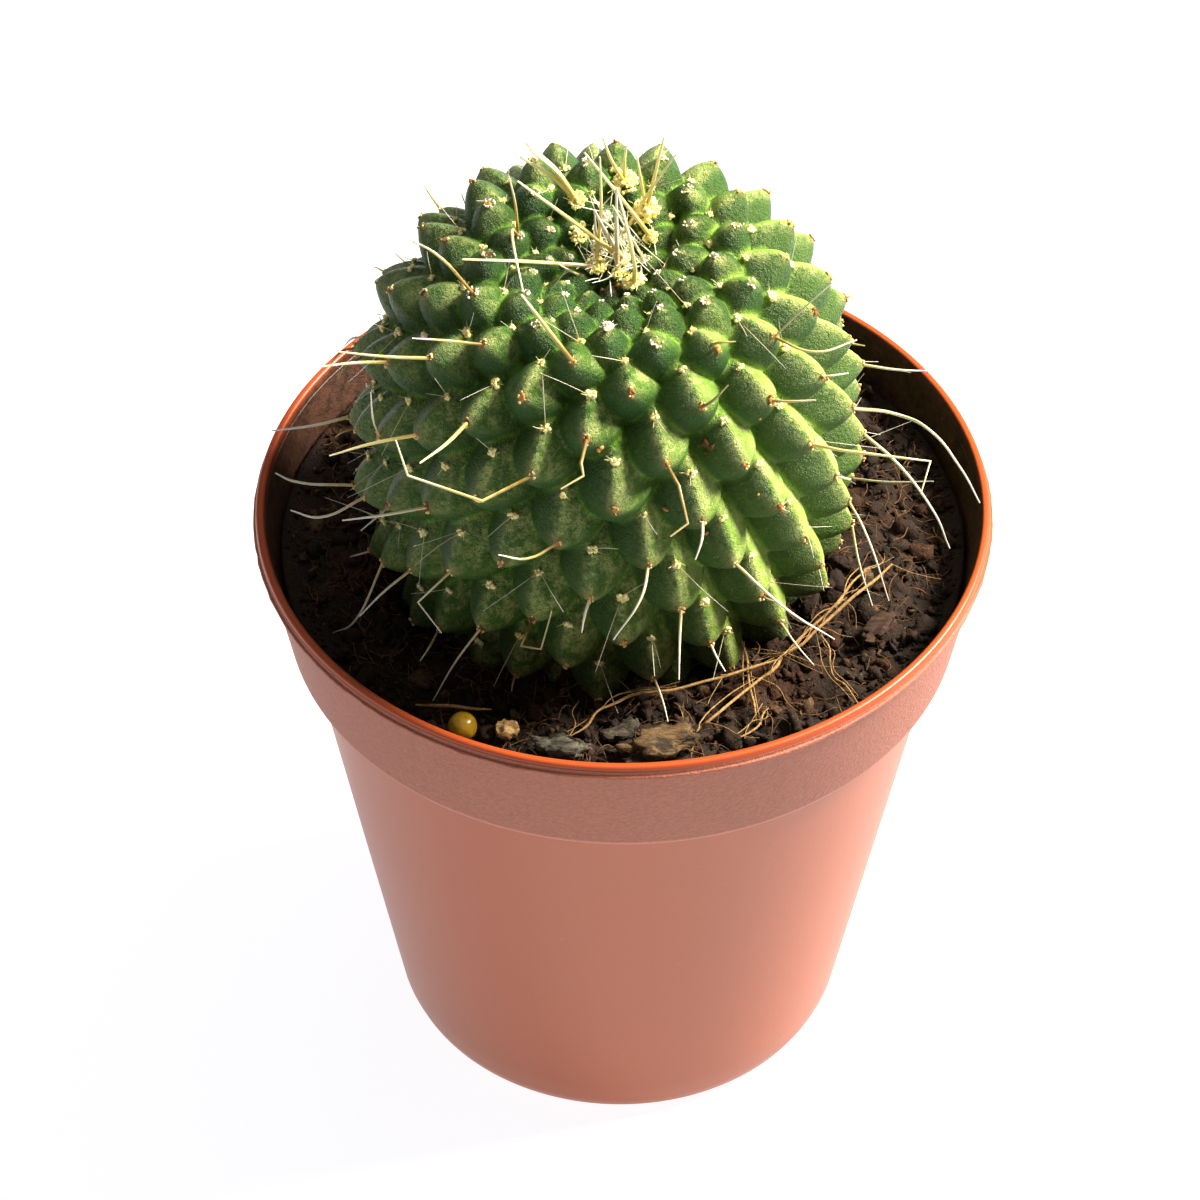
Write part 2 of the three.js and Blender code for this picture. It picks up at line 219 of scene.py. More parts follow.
def finishPiece(name, made, material, covers=(), smooth=True):
    if isinstance(made, bmesh.types.BMesh):
        mesh = bpy.data.meshes.new(name)
        made.to_mesh(mesh)
        made.free()
    else:
        mesh = made
        mesh.name = name
    mesh.transform(Matrix.Scale(mm, 4))
    mesh.materials.clear()
    mesh.materials.append(material)
    mesh.polygons.foreach_set("use_smooth", [smooth] * len(mesh.polygons))
    piece = bpy.data.objects.new(name, mesh)
    scene.collection.objects.link(piece)
    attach(piece, "root")
    if covers:
        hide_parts(*covers)
    return piece


def turnProfile(corners, steps):
    # corners are (radius, height, rounding) and start and end on the axis
    made = bmesh.new()
    chain = [made.verts.new((radius, 0, height)) for radius, height, rounding in corners]
    for first, second in zip(chain, chain[1:]):
        made.edges.new((first, second))
    for vertex, (radius, height, rounding) in zip(chain, corners):
        if rounding:
            bmesh.ops.bevel(made, geom=[vertex], offset=rounding, affect="VERTICES",
                            segments=4, profile=0.5, material=-1)
    bmesh.ops.spin(made, geom=made.verts[:] + made.edges[:], cent=(0, 0, 0), axis=(0, 0, 1),
                   angle=2 * math.pi, steps=steps, use_merge=True, use_duplicate=False)
    bmesh.ops.remove_doubles(made, verts=made.verts, dist=1e-4)
    bmesh.ops.recalc_face_normals(made, faces=made.faces)
    return made


def strandMesh(strands, sides=4, resolution=3):
    # strands are (points, radii, bent); bent ones have sharp corners
    curve = bpy.data.curves.new("strands", "CURVE")
    curve.dimensions = "3D"
    curve.bevel_depth = 1.0
    curve.bevel_resolution = max(0, sides // 2 - 2)
    curve.use_fill_caps = True
    curve.resolution_u = resolution
    for points, radii, bent in strands:
        spline = curve.splines.new("BEZIER")
        spline.bezier_points.add(len(points) - 1)
        for knot, point, radius in zip(spline.bezier_points, points, radii):
            knot.co = point
            knot.radius = radius
            knot.handle_left_type = knot.handle_right_type = "VECTOR" if bent else "AUTO"
    holder = bpy.data.objects.new("strands", curve)
    scene.collection.objects.link(holder)
    shown = holder.evaluated_get(bpy.context.evaluated_depsgraph_get())
    mesh = bpy.data.meshes.new_from_object(shown)
    bpy.data.objects.remove(holder)
    bpy.data.curves.remove(curve)
    return mesh


def plantCopies(template, placements):
    grown = bmesh.new()
    for placement in placements:
        copy = template.copy()
        copy.transform(placement)
        grown.from_mesh(copy)
        bpy.data.meshes.remove(copy)
    return grown


def meshOf(made):
    mesh = bpy.data.meshes.new("template")
    made.to_mesh(mesh)
    made.free()
    return mesh


# camera, at the photograph's viewing angle

view = {
    "place": (0, -308.41, 350.48), "target": (-1.99, 0, 47.24), "roll": 0.355,
    "fieldOfView": 14.204,
}


def makeCamera():
    data = bpy.data.cameras.new("camera")
    data.angle = math.radians(view["fieldOfView"])
    data.clip_start = 10 * mm
    camera = bpy.data.objects.new("camera", data)
    place = Vector(view["place"]) * mm
    aim = (Vector(view["target"]) * mm - place).to_track_quat("-Z", "Y")
    roll = Quaternion((0, 0, 1), math.radians(view["roll"]))
    camera.matrix_world = Matrix.Translation(place) @ (aim @ roll).to_matrix().to_4x4()
    scene.collection.objects.link(camera)
    scene.camera = camera


makeCamera()


# plain pale floor and soft studio light

studio = {
    "keyPlace": (395, 92, 450), "keySize": 200, "keyPower": 14.4, "keyColour": (1.0, 0.93, 0.82),
    "topPlace": (60, 160, 620), "topSize": 400, "topPower": 0.8, "topColour": (1.0, 0.98, 0.95),
    "fillPlace": (-420, -300, 300), "fillSize": 500, "fillPower": 0.26,
    "fillColour": (0.82, 0.88, 1.0),
    "skyStrength": 0.14, "floorGlow": 1.0,
}


def addLamp(name, place, size, power, colour):
    data = bpy.data.lights.new(name, "AREA")
    data.shape = "DISK"
    data.size = size * mm
    data.energy = power
    data.color = colour
    lamp = bpy.data.objects.new(name, data)
    lamp.location = Vector(place) * mm
    towards = Vector((0, 0, 60 * mm)) - lamp.location
    lamp.rotation_euler = towards.to_track_quat("-Z", "Y").to_euler()
    scene.collection.objects.link(lamp)


def makeStudio():
    for name in ("key", "top", "fill"):
        addLamp(name, studio[name + "Place"], studio[name + "Size"], studio[name + "Power"],
                studio[name + "Colour"])
    world = bpy.data.worlds.new("sky")
    world.use_nodes = True
    sky = world.node_tree.nodes["Background"]
    sky.inputs["Color"].default_value = (0.97, 0.98, 1.0, 1.0)
    sky.inputs["Strength"].default_value = studio["skyStrength"]
    scene.world = world
    made = bmesh.new()
    bmesh.ops.create_grid(made, x_segments=4, y_segments=4, size=4.0)
    mesh = meshOf(made)
    floor = bpy.data.objects.new("floor", mesh)
    material, shader, place = newMaterial("paleFloor", roughness=0.85, specular=0.1)
    cloud = noiseMask(place, 6.0)
    paintOn(shader, mixColours(cloud, (0.24, 0.24, 0.25, 1), (0.26, 0.26, 0.27, 1)))
    plug(mixColours(cloud, (0.9, 0.91, 0.93, 1), (0.93, 0.93, 0.95, 1)), shader.inputs["Emission Color"])
    shader.inputs["Emission Strength"].default_value = studio["floorGlow"]
    mesh.materials.append(material)
    scene.collection.objects.link(floor)
    scene.view_settings.view_transform = "Standard"


makeStudio()
print("camera and studio ready")


# the moulded pot

pot = {
    "height": 60.0, "rimRadius": 32.5, "wall": 0.55, "lipDrop": 1.2, "collarTopRadius": 31.95,
    "collarFootRadius": 30.0, "collarFoot": 47.3, "bodyTopRadius": 28.55, "baseRadius": 20.6,
    "footCorner": 2.5, "footInner": 16.6, "baseRise": 1.2, "floorTop": 2.1,
    "notches": 6, "notchRadius": 2.0, "notchHeight": -1.0, "notchAngle": -33.0,
    "steps": 224, "extraRings": (5.0, 8.0), "sharpAngle": 48.0,
    "flash": 0.08,  # ragged lower edge of the lip
    "waviness": 0.06,
    "sag": (-0.22, 0.2, 0.38),  # how far the rim is lifted, more to the right, more at the back
}
lipFoot = pot["height"] - pot["lipDrop"]
collarTall = pot["height"] - pot["collarFoot"]


def potMaterial():
    material, shader, place = newMaterial("terracottaPlastic", roughness=0.42, specular=0.38)
    parts = partsOf(place)
    height = parts["Z"]

    def above(level, low, high):
        return rampMask(height, (level + low) * mm, (level + high) * mm)

    lip = above(lipFoot, 0.05, 0.18)
    collar = above(pot["collarFoot"], -0.05, 0.3)
    # a painted highlight along the rounded lower edge of the collar
    collarEdgeHighlight = minus(collar, above(pot["collarFoot"], 0.4, 0.65), clamp=True)
    grainy = minus(collar, lip, clamp=True)
    cloud = noiseMask(place, 28.0, 3.0)
    grain = placeGroup(fineGrain, place, Size=0.38, Contrast=2.0)
    scuffs = placeGroup(scatteredSpecks, place, Spacing=3.5, Share=0.07)["Mask"]
    # a mottle for the painted shade and dirt on the inner wall
    innerShadeAndDirtMottle = placeGroup(fineGrain, place, Size=1.6, Contrast=2.4)["Mask"]
    # the inner wall above the soil, closer to the axis than the collar's outside, is painted darker: painted
    # shade and dirt
    flat = addNode(shader.id_data, "ShaderNodeCombineXYZ", {0: parts["X"], 1: parts["Y"]}).outputs[0]
    radius = addNode(shader.id_data, "ShaderNodeVectorMath", {0: flat}, operation="LENGTH").outputs["Value"]
    slope = (pot["collarTopRadius"] - pot["collarFootRadius"]) / collarTall
    outside = plus(times(minus(height, pot["collarFoot"] * mm), slope), pot["collarFootRadius"] * mm)
    innerShadeAndDirt = times(rampMask(minus(outside, radius), 0.2 * mm, 0.4 * mm), above(pot["collarFoot"], 0.3, 1.1))
    paintOn(shader, layCoats(
        mixColours(cloud, paint(163, 80, 43), paint(169, 87, 49)),
        (collar, mixColours(grain["Mask"], paint(144, 80, 58), paint(166, 98, 74))),
        # painted highlight on the collar's lower edge
        (times(collarEdgeHighlight, 0.6), paint(196, 134, 108)),
        (lip, paint(166, 70, 27)),
        # painted shade and dirt on the inner wall
        (innerShadeAndDirt, mixColours(innerShadeAndDirtMottle, paint(44, 28, 18), paint(86, 54, 38))),
        (times(scuffs, 0.25), paint(222, 170, 146))),
        rough=plus(plus(times(cloud, 0.08), times(grainy, 0.16)), 0.34))
    bumpFrom(shader, times(grain["Height"], plus(grainy, 0.12)), 0.16, 0.75)
    glowThrough(shader, 0.08, (1.0, 0.35, 0.2), 1.2)
    return material


def potCorners():
    # (radius, height, rounding) from the middle of the underside round to the floor inside
    collarFoot = pot["collarFoot"]
    innerRim = pot["collarTopRadius"] - pot["wall"]
    bodyTop = collarFoot - 0.25
    bodySlope = (pot["bodyTopRadius"] - pot["baseRadius"]) / bodyTop
    return [
        (0, pot["baseRise"], 0),
        (pot["footInner"] - 0.3, pot["baseRise"], 0.15),
        (pot["footInner"], 0, 0.2),
        (pot["baseRadius"], 0, pot["footCorner"]),
        *((pot["baseRadius"] + bodySlope * ring, ring, 0) for ring in pot["extraRings"]),
        (pot["bodyTopRadius"], bodyTop, 0.3),
        (pot["bodyTopRadius"] + 0.4, collarFoot, 0.15),
        (pot["collarFootRadius"], collarFoot + 0.08, 0.3),
        (pot["collarTopRadius"], lipFoot - 0.12, 0.05),
        (pot["collarTopRadius"] + 0.1, lipFoot, 0.05),
        (pot["rimRadius"] + 0.08, lipFoot, 0.05),
        (pot["rimRadius"] + 0.05, lipFoot + 0.2, 0.05),
        (pot["rimRadius"] - 0.14, lipFoot + 0.28, 0.06),
        (pot["rimRadius"] - 0.2, pot["height"], 0.3),
        (innerRim + 0.26, pot["height"], 0.2),
        (innerRim, pot["height"] - 0.7, 0.3),
        (pot["collarFootRadius"] - pot["wall"], collarFoot + 0.6, 0.4),
        (pot["bodyTopRadius"] - pot["wall"], collarFoot - 0.3, 0.3),
        (pot["baseRadius"] - pot["wall"], pot["floorTop"], 1.8),
        (0, pot["floorTop"], 0),
    ]


def cutNotches(mesh):
    # arched drainage notches through the foot ring
    cutters = bmesh.new()
    for notch in range(pot["notches"]):
        turn = math.radians(pot["notchAngle"] + notch * 360 / pot["notches"])
        place = (Matrix.Rotation(turn, 4, "Z")
                 @ Matrix.Translation((pot["baseRadius"], 0, pot["notchHeight"]))
                 @ Matrix.Rotation(math.pi / 2, 4, "Y"))
        bmesh.ops.create_cone(cutters, cap_ends=True, segments=40, radius1=pot["notchRadius"],
                              radius2=pot["notchRadius"], depth=2 * pot["footCorner"] + 2,
                              matrix=place)
    cutter = bpy.data.objects.new("notchCutter", meshOf(cutters))
    whole = bpy.data.objects.new("wholePot", mesh)
    for thing in (cutter, whole):
        scene.collection.objects.link(thing)
    cut = whole.modifiers.new("notches", "BOOLEAN")
    cut.operation = "DIFFERENCE"
    cut.solver = "EXACT"
    cut.object = cutter
    shown = whole.evaluated_get(bpy.context.evaluated_depsgraph_get())
    result = bpy.data.meshes.new_from_object(shown)
    bpy.data.objects.remove(whole)
    bpy.data.objects.remove(cutter)
    return result


def makePot():
    made = turnProfile(potCorners(), pot["steps"])
    lift, toRight, toBack = pot["sag"]
    for vertex in made.verts:
        point = vertex.co
        radius = math.hypot(point.x, point.y)
        around = Vector((point.x / max(radius, 1), point.y / max(radius, 1), 0))
        if lipFoot - 0.05 < point.z < lipFoot + 0.2 and radius > pot["collarTopRadius"] + 0.3:
            ragged = noise.noise(around * 23) + 0.5 * noise.noise(around * 60)
            vertex.co += around * pot["flash"] * ragged
            vertex.co.z -= 1.2 * pot["flash"] * max(0, ragged)
        if point.z > pot["collarFoot"]:
            share = (point.z - pot["collarFoot"]) / collarTall
            vertex.co += around * pot["waviness"] * share * noise.noise(around * 1.6)
            vertex.co.z += share * (lift + (toRight * point.x + toBack * point.y) / pot["rimRadius"])
    piece = finishPiece("pot", cutNotches(meshOf(made)), potMaterial(), covers=["pot"])
    piece.data.set_sharp_from_angle(angle=math.radians(pot["sharpAngle"]))


makePot()
print("pot made")


# the stem: a barrel with a sunken crown, covered with tubercles in golden-angle order

stem = {
    "centre": (-1.45, -2.75, 70.3), "lean": 7.85, "radius": 20.6, "halfHeight": 27.0,
    "squareness": 2.43, "crownSink": 6.7, "crownWidth": 0.375, "oval": 1.08,
    "buried": -20.0, "heel": -21.6, "segments": 384, "rings": 250, "profileSteps": 1600,
    "eye": 8.0,  # height of the point that sees the whole profile
}
lattice = {
    "turn": 137.489, "firstAngle": 0.74, "count": 218, "youngArea": 3.25, "grownArea": 34.65,
    "growthSpan": 55.0, "growthPower": 2.24,
}
dome = {
    "depth": 0.8, "youngDepth": 0.2, "deepest": 4.9, "side": 0.6, "above": 0.93, "below": 0.62,
    "ridgePower": 1.25, "youngPower": 1.9, "chinPower": 1.8, "cone": 0.64, "youngCone": 0.32,
    "steepness": 2.6, "fillet": 0.35, "axilPlace": 0.62, "wrinkles": 0.12, "unevenness": 0.09,
    "youngSpacing": (2.8, 5.0), "keelSpacing": (3.2, 5.4), "bluntness": 0.02,
}

skinMasks = ("ridge", "flank", "groove", "chinShade", "tip", "valley", "face", "crust", "young", "heartAndShade", "lower")
stemFrame = (Matrix.Translation(stem["centre"])
             @ Matrix.Rotation(math.radians(stem["lean"]), 4, "X"))


def walkProfile():
    # the surface through the tips of the tubercles, from the crown down
    polar = np.linspace(0.0, 0.86 * math.pi, stem["profileSteps"])
    power = 2 / stem["squareness"]
    radius = stem["radius"] * np.sin(polar) ** power
    height = stem["halfHeight"] * np.sign(np.cos(polar)) * np.abs(np.cos(polar)) ** power
    crown = np.exp(-(radius / (stem["crownWidth"] * stem["radius"])) ** 2)
    height = height - stem["crownSink"] * crown * (polar < math.pi / 2)
    stride = np.hypot(np.diff(radius), np.diff(height))
    length = np.concatenate([[0.0], np.cumsum(stride)])
    ringArea = math.pi * (radius[1:] + radius[:-1]) * stride
    area = np.concatenate([[0.0], np.cumsum(ringArea)])
    return {"radius": radius, "height": height, "length": length, "area": area}


profile = walkProfile()


def surfaceAt(length, angle):
    # points and outward directions on the surface through the tips
    radius = np.interp(length, profile["length"], profile["radius"])
    height = np.interp(length, profile["length"], profile["height"])
    after = length + 0.05
    radialStep = np.interp(after, profile["length"], profile["radius"]) - radius
    heightStep = np.interp(after, profile["length"], profile["height"]) - height
    points = np.stack([radius * np.cos(angle) * stem["oval"], radius * np.sin(angle), height], -1)
    normals = np.stack([-heightStep * np.cos(angle) / stem["oval"], -heightStep * np.sin(angle),
                        radialStep], -1)
    normals /= np.linalg.norm(normals, axis=-1, keepdims=True) + 1e-12
    return points, normals


def growTubercles():
    # each one takes its share of the area, a golden turn after the one before
    number = np.arange(lattice["count"])
    growth = 1 - np.exp(-(number / lattice["growthSpan"]) ** lattice["growthPower"])
    share = lattice["youngArea"] + lattice["grownArea"] * growth
    middle = np.cumsum(share) - share / 2
    length = np.interp(middle, profile["area"], profile["length"])
    angle = np.radians(lattice["firstAngle"] + lattice["turn"] * number)
    points, normals = surfaceAt(length, angle)
    side = np.cross([0.0, 0.0, 1.0], normals)
    side /= np.linalg.norm(side, axis=-1, keepdims=True)
    return {"point": points, "side": side, "up": np.cross(normals, side), "spacing": np.sqrt(share),
            "length": length, "angle": angle}


tubercles = growTubercles()
randomSource = np.random.default_rng(11)
unevenness = randomSource.standard_normal(lattice["count"]).clip(-2, 2)
tubercles["boldness"] = 1 + dome["unevenness"] * unevenness


def smoothStep(value, low, high):
    share = np.clip((value - low) / (high - low), 0, 1)
    return share * share * (3 - 2 * share)


def skinAt(points):
    # how deep the skin lies under the surface through the tips, and what part of a tubercle it is
    spacing = tubercles["spacing"]
    young = 1 - smoothStep(spacing, *dome["youngSpacing"])
    depthLimit = np.minimum((dome["depth"] + dome["youngDepth"] * young) * spacing, dome["deepest"])
    depthLimit = depthLimit * tubercles["boldness"]
    cone = dome["cone"] + (dome["youngCone"] - dome["cone"]) * young
    keeled = smoothStep(spacing, *dome["keelSpacing"])
    keel = dome["youngPower"] + (dome["ridgePower"] - dome["youngPower"]) * keeled
    results = []
    for start in range(0, len(points), 3000):  # some thousand points at a time, to save memory
        delta = points[start:start + 3000, None, :] - tubercles["point"][None]
        across = np.einsum("pti,ti->pt", delta, tubercles["side"])
        upward = np.einsum("pti,ti->pt", delta, tubercles["up"])
        reach = np.linalg.norm(delta, axis=-1) / (np.hypot(across, upward) + 1e-9)
        across = across * reach / spacing
        upward = upward * reach / spacing
        above = upward > 0
        power = np.where(above, keel[None], dome["chinPower"])
        sideShare = np.abs(across) / dome["side"]
        upShare = np.abs(upward) / np.where(above, dome["above"], dome["below"])
        share = (sideShare ** power + upShare ** power) ** (1 / power)
        share = np.sqrt(share ** 2 + dome["bluntness"]) - math.sqrt(dome["bluntness"])
        depth = depthLimit * (cone * share + (1 - cone) * share ** dome["steepness"])
        nearest = depth.argmin(axis=1)
        row = np.arange(len(nearest))
        lowestTwo = np.partition(depth, 1, axis=1)
        crease = lowestTwo[:, 1] - lowestTwo[:, 0]
        rounding = np.maximum(dome["fillet"] - crease, 0) / dome["fillet"]
        deep = lowestTwo[:, 0] - rounding ** 2 * dome["fillet"] / 4
        results.append(np.stack([np.minimum(deep, 1.25 * dome["deepest"]), crease,
                                 across[row, nearest], upward[row, nearest], spacing[nearest]], -1))
    return np.concatenate(results)


def skinMaterial():
    material, shader, place = newMaterial("cactusSkin", roughness=0.42, specular=0.34)
    mask = {name: attributeMask(shader, name) for name in skinMasks}
    cloud = noiseMask(place, 90.0, 3.0)
    patches = noiseMask(place, 640.0, 6.0, 0.75)
    grain = placeGroup(fineGrain, place, Size=0.3, Contrast=3.0)
    specks = placeGroup(scatteredSpecks, place, Spacing=0.2, Share=0.36)["Mask"]
    flecks = placeGroup(scatteredSpecks, place, Spacing=0.9, Share=0.11)["Mask"]
    # painted light and shade: the furrows on the right-hand side, towards the key lamp, are painted paler,
    # and the left-hand side is painted darker and duller
    paintedLightSide = rampMask(partsOf(place)["X"], -4 * mm, 24 * mm)
    paintedShadeSide = rampMask(partsOf(place)["X"], -5 * mm, -24 * mm)
    furrows = larger(mask["valley"], mask["flank"])
    # pale scurf on the right-hand flanks, the keels and round the young tips; on the flanks it is partly a
    # painted sheen, and painted shade makes it weaker on the left-hand side
    scurfAndSheen = larger(times(mask["flank"], 0.7, rampMask(patches, 0.4, 0.6)),
                   times(mask["ridge"], 0.8, rampMask(patches, 0.38, 0.58)))
    scurfAndSheen = larger(scurfAndSheen, times(mask["crust"], rampMask(patches, 0.5, 0.54)))
    sandy = plus(times(specks, 0.5), plus(grain["Mask"], 0.2), clamp=True)
    scurfAndSheen = times(scurfAndSheen, sandy, minus(1.0, times(paintedShadeSide, 0.5)))
    paintOn(shader, layCoats(
        mixColours(cloud, paint(40, 80, 8), paint(60, 110, 13)),
        (times(mask["young"], 0.95), paint(14, 39, 6)),
        (grain["Mask"], paint(66, 104, 22)),
        # painted shade on the undersides of the tubercles
        (times(mask["chinShade"], 0.6), paint(26, 56, 14)),
        (times(mask["groove"], 0.8), paint(98, 156, 14)),
        # painted shade on the faces turned left and down
        (times(mask["face"], 0.75), paint(27, 72, 12)),
        # painted light in the furrows on the right-hand side
        (times(paintedLightSide, furrows, 0.85), paint(174, 210, 80)),
        (times(specks, 0.36), paint(140, 158, 104)),
        # pale scurf, partly a painted sheen on the right-hand flanks
        (scurfAndSheen, paint(186, 192, 118)),
        (times(flecks, 0.6), paint(220, 214, 176)),
        # painted shade on the left-hand side
        (times(paintedShadeSide, 0.25), paint(34, 36, 16)),
        # painted shade and an olive-brown tint towards the bottom
        (times(mask["lower"], 0.6), paint(52, 46, 24)),
        (times(mask["tip"], 0.4), paint(164, 140, 84)),
        # the dark growing point, and painted shade in the gap round it
        (mask["heartAndShade"], paint(26, 20, 8))),
        rough=plus(times(scurfAndSheen, 0.3), 0.4))
    bumpFrom(shader, plus(grain["Height"], times(specks, 0.5)), 0.3, 1.0)
    glowThrough(shader, 0.12, (0.6, 1.0, 0.15), 0.9)
    return material


def paintMasks(points, crease, across, upward, spacing):
    # which part of a tubercle each point is on: 0 to 1 for each mask that the material reads
    old = smoothStep(spacing, 3.4, 5.3)
    ridgeLine = np.exp(-(across / 0.13) ** 2) * smoothStep(upward, -0.12, 0.1)
    # the right-hand flank, where the scurf coat is partly a painted sheen
    flankShare = 0.12 + smoothStep(across, -0.05, 0.05) * (1 - smoothStep(across, 0.25, 0.62))
    # faces turned left or down, away from the key lamp, are painted darker as shade
    shadyFace = np.maximum(smoothStep(-across, -0.06, 0.12), smoothStep(-upward, 0.0, 0.2))
    return {
        "ridge": ridgeLine * (0.1 + 0.9 * old),
        "flank": flankShare * smoothStep(upward, -0.2, 0.15) * (0.15 + 0.85 * old),
        "groove": 1 - smoothStep(crease, 0.05, 0.8),
        # the underside below each tip, painted darker as shade
        "chinShade": smoothStep(-upward, 0.1, 0.45),
        "tip": np.exp(-(across ** 2 + upward ** 2) / 0.1 ** 2),
        "valley": 1 - smoothStep(crease, 0.2, 1.6),
        "face": shadyFace * smoothStep(crease, 0.15, 1.3),
        "crust": np.exp(-((across - 0.1) ** 2 + (upward - 0.1) ** 2) / 0.2 ** 2) * (1 - old),
        "young": 1 - smoothStep(spacing, 3.2, 4.8),
        # the dark growing point, and painted shade in the gap round it
        "heartAndShade": np.exp(-((points - tubercles["point"][2]) ** 2).sum(-1) / 1.3 ** 2),
        # painted shade and a browner tint towards the bottom of the stem
        "lower": smoothStep(-points[:, 2], 4, 16),
    }


def makeStem():
    # a turned barrel first, then every vertex sinks to the skin
    outer = slice(stem["profileSteps"] // 2, None)  # past the crown the profile only goes down
    buriedLength = np.interp(-stem["buried"], -profile["height"][outer], profile["length"][outer])
    rings = surfaceAt(np.linspace(0, buriedLength, stem["rings"]), 0.0)[0]
    corners = [(point[0] / stem["oval"], point[2], 0) for point in rings]
    mesh = meshOf(turnProfile(corners + [(0, stem["heel"], 0)], stem["segments"]))
    points = np.empty(len(mesh.vertices) * 3)
    mesh.vertices.foreach_get("co", points)
    points = points.reshape(-1, 3)
    angle = np.arctan2(points[:, 1], points[:, 0])
    radius = np.hypot(points[:, 0], points[:, 1])
    points[:, 0] *= stem["oval"]
    # the place along the profile of each vertex, found by its direction from inside the barrel
    profileAngle = np.arctan2(profile["height"] - stem["eye"], profile["radius"])
    order = np.argsort(-profileAngle)
    length = np.interp(-np.arctan2(points[:, 2] - stem["eye"], radius), -profileAngle[order],
                       profile["length"][order])
    normals = surfaceAt(length, angle)[1]
    onSkin = points[:, 2] > stem["heel"] + 0.5
    depth, crease, across, upward, spacing = skinAt(points).T
    depth += dome["wrinkles"] * np.array([noise.noise(Vector(point) * 0.55) for point in points])
    points -= normals * (depth * onSkin)[:, None]
    mesh.vertices.foreach_set("co", points.ravel())
    for name, values in paintMasks(points, crease, across, upward, spacing).items():
        mesh.attributes.new(name, "FLOAT", "POINT").data.foreach_set("value", values.astype(np.float32))
    mesh.transform(stemFrame)
    finishPiece("cactus_stem", mesh, skinMaterial(), covers=["cactus_stem"])


makeStem()
print("stem made")


# places on the skin, and the spines that grow there

def skinPlace(number, across=0.0, upward=0.0, lift=0.0):
    # a point some millimetres across and up from the tip of a tubercle, along the skin, and the
    # directions out, along and up there, in the frame of the CAD
    length = max(0.15, tubercles["length"][number] - upward)
    radius = max(1.0, np.interp(length, profile["length"], profile["radius"]))
    angle = tubercles["angle"][number] + across / (radius * stem["oval"])
    points, normals = surfaceAt(np.array([length]), np.array([angle]))
    depth = skinAt(points)[0, 0]
    out = Vector(normals[0])
    side = Vector((0, 0, 1)).cross(out).normalized()
    point = Vector(points[0]) + out * (lift - depth)
    turn = stemFrame.to_3x3()
    return stemFrame @ point, turn @ out, turn @ side, turn @ out.cross(side)


def fromAreole(number, offsets):
    base, out, side, up = skinPlace(number)
    return base + out * offsets[0] + side * offsets[1] + up * offsets[2]


def hornMaterial(name, root, middle, end, roughness=0.38):
    # along a spine the colour goes from its root over its middle to its end
    material, shader, place, streaks = grainyMaterial(name, roughness, specular=0.5, size=0.5,
                                                       contrast=1.5, bump=(0.03, 0.5))
    along = partsOf(addNode(shader.id_data, "ShaderNodeUVMap", uv_map="UVMap").outputs["UV"])["X"]
    along = plus(along, times(minus(streaks, 0.5), 0.3))
    colour = layCoats(mixColours(rampMask(along, 0.04, 0.4), paint(*root), paint(*middle)),
                      (rampMask(along, 0.4, 0.9), paint(*end)))
    paintOn(shader, colour, rough=plus(times(streaks, 0.15), roughness - 0.08))
    return material


horns = {
    "crown": hornMaterial("crownSpineHorn", (216, 186, 98), (234, 216, 138), (242, 230, 176)),
    "golden": hornMaterial("goldenSpineHorn", (144, 114, 48), (202, 182, 112), (236, 228, 188)),
    "brown": hornMaterial("brownSpineHorn", (112, 86, 36), (140, 122, 70), (172, 158, 108)),
    "white": hornMaterial("whiteSpineHorn", (196, 170, 112), (208, 200, 170), (214, 208, 190)),
}

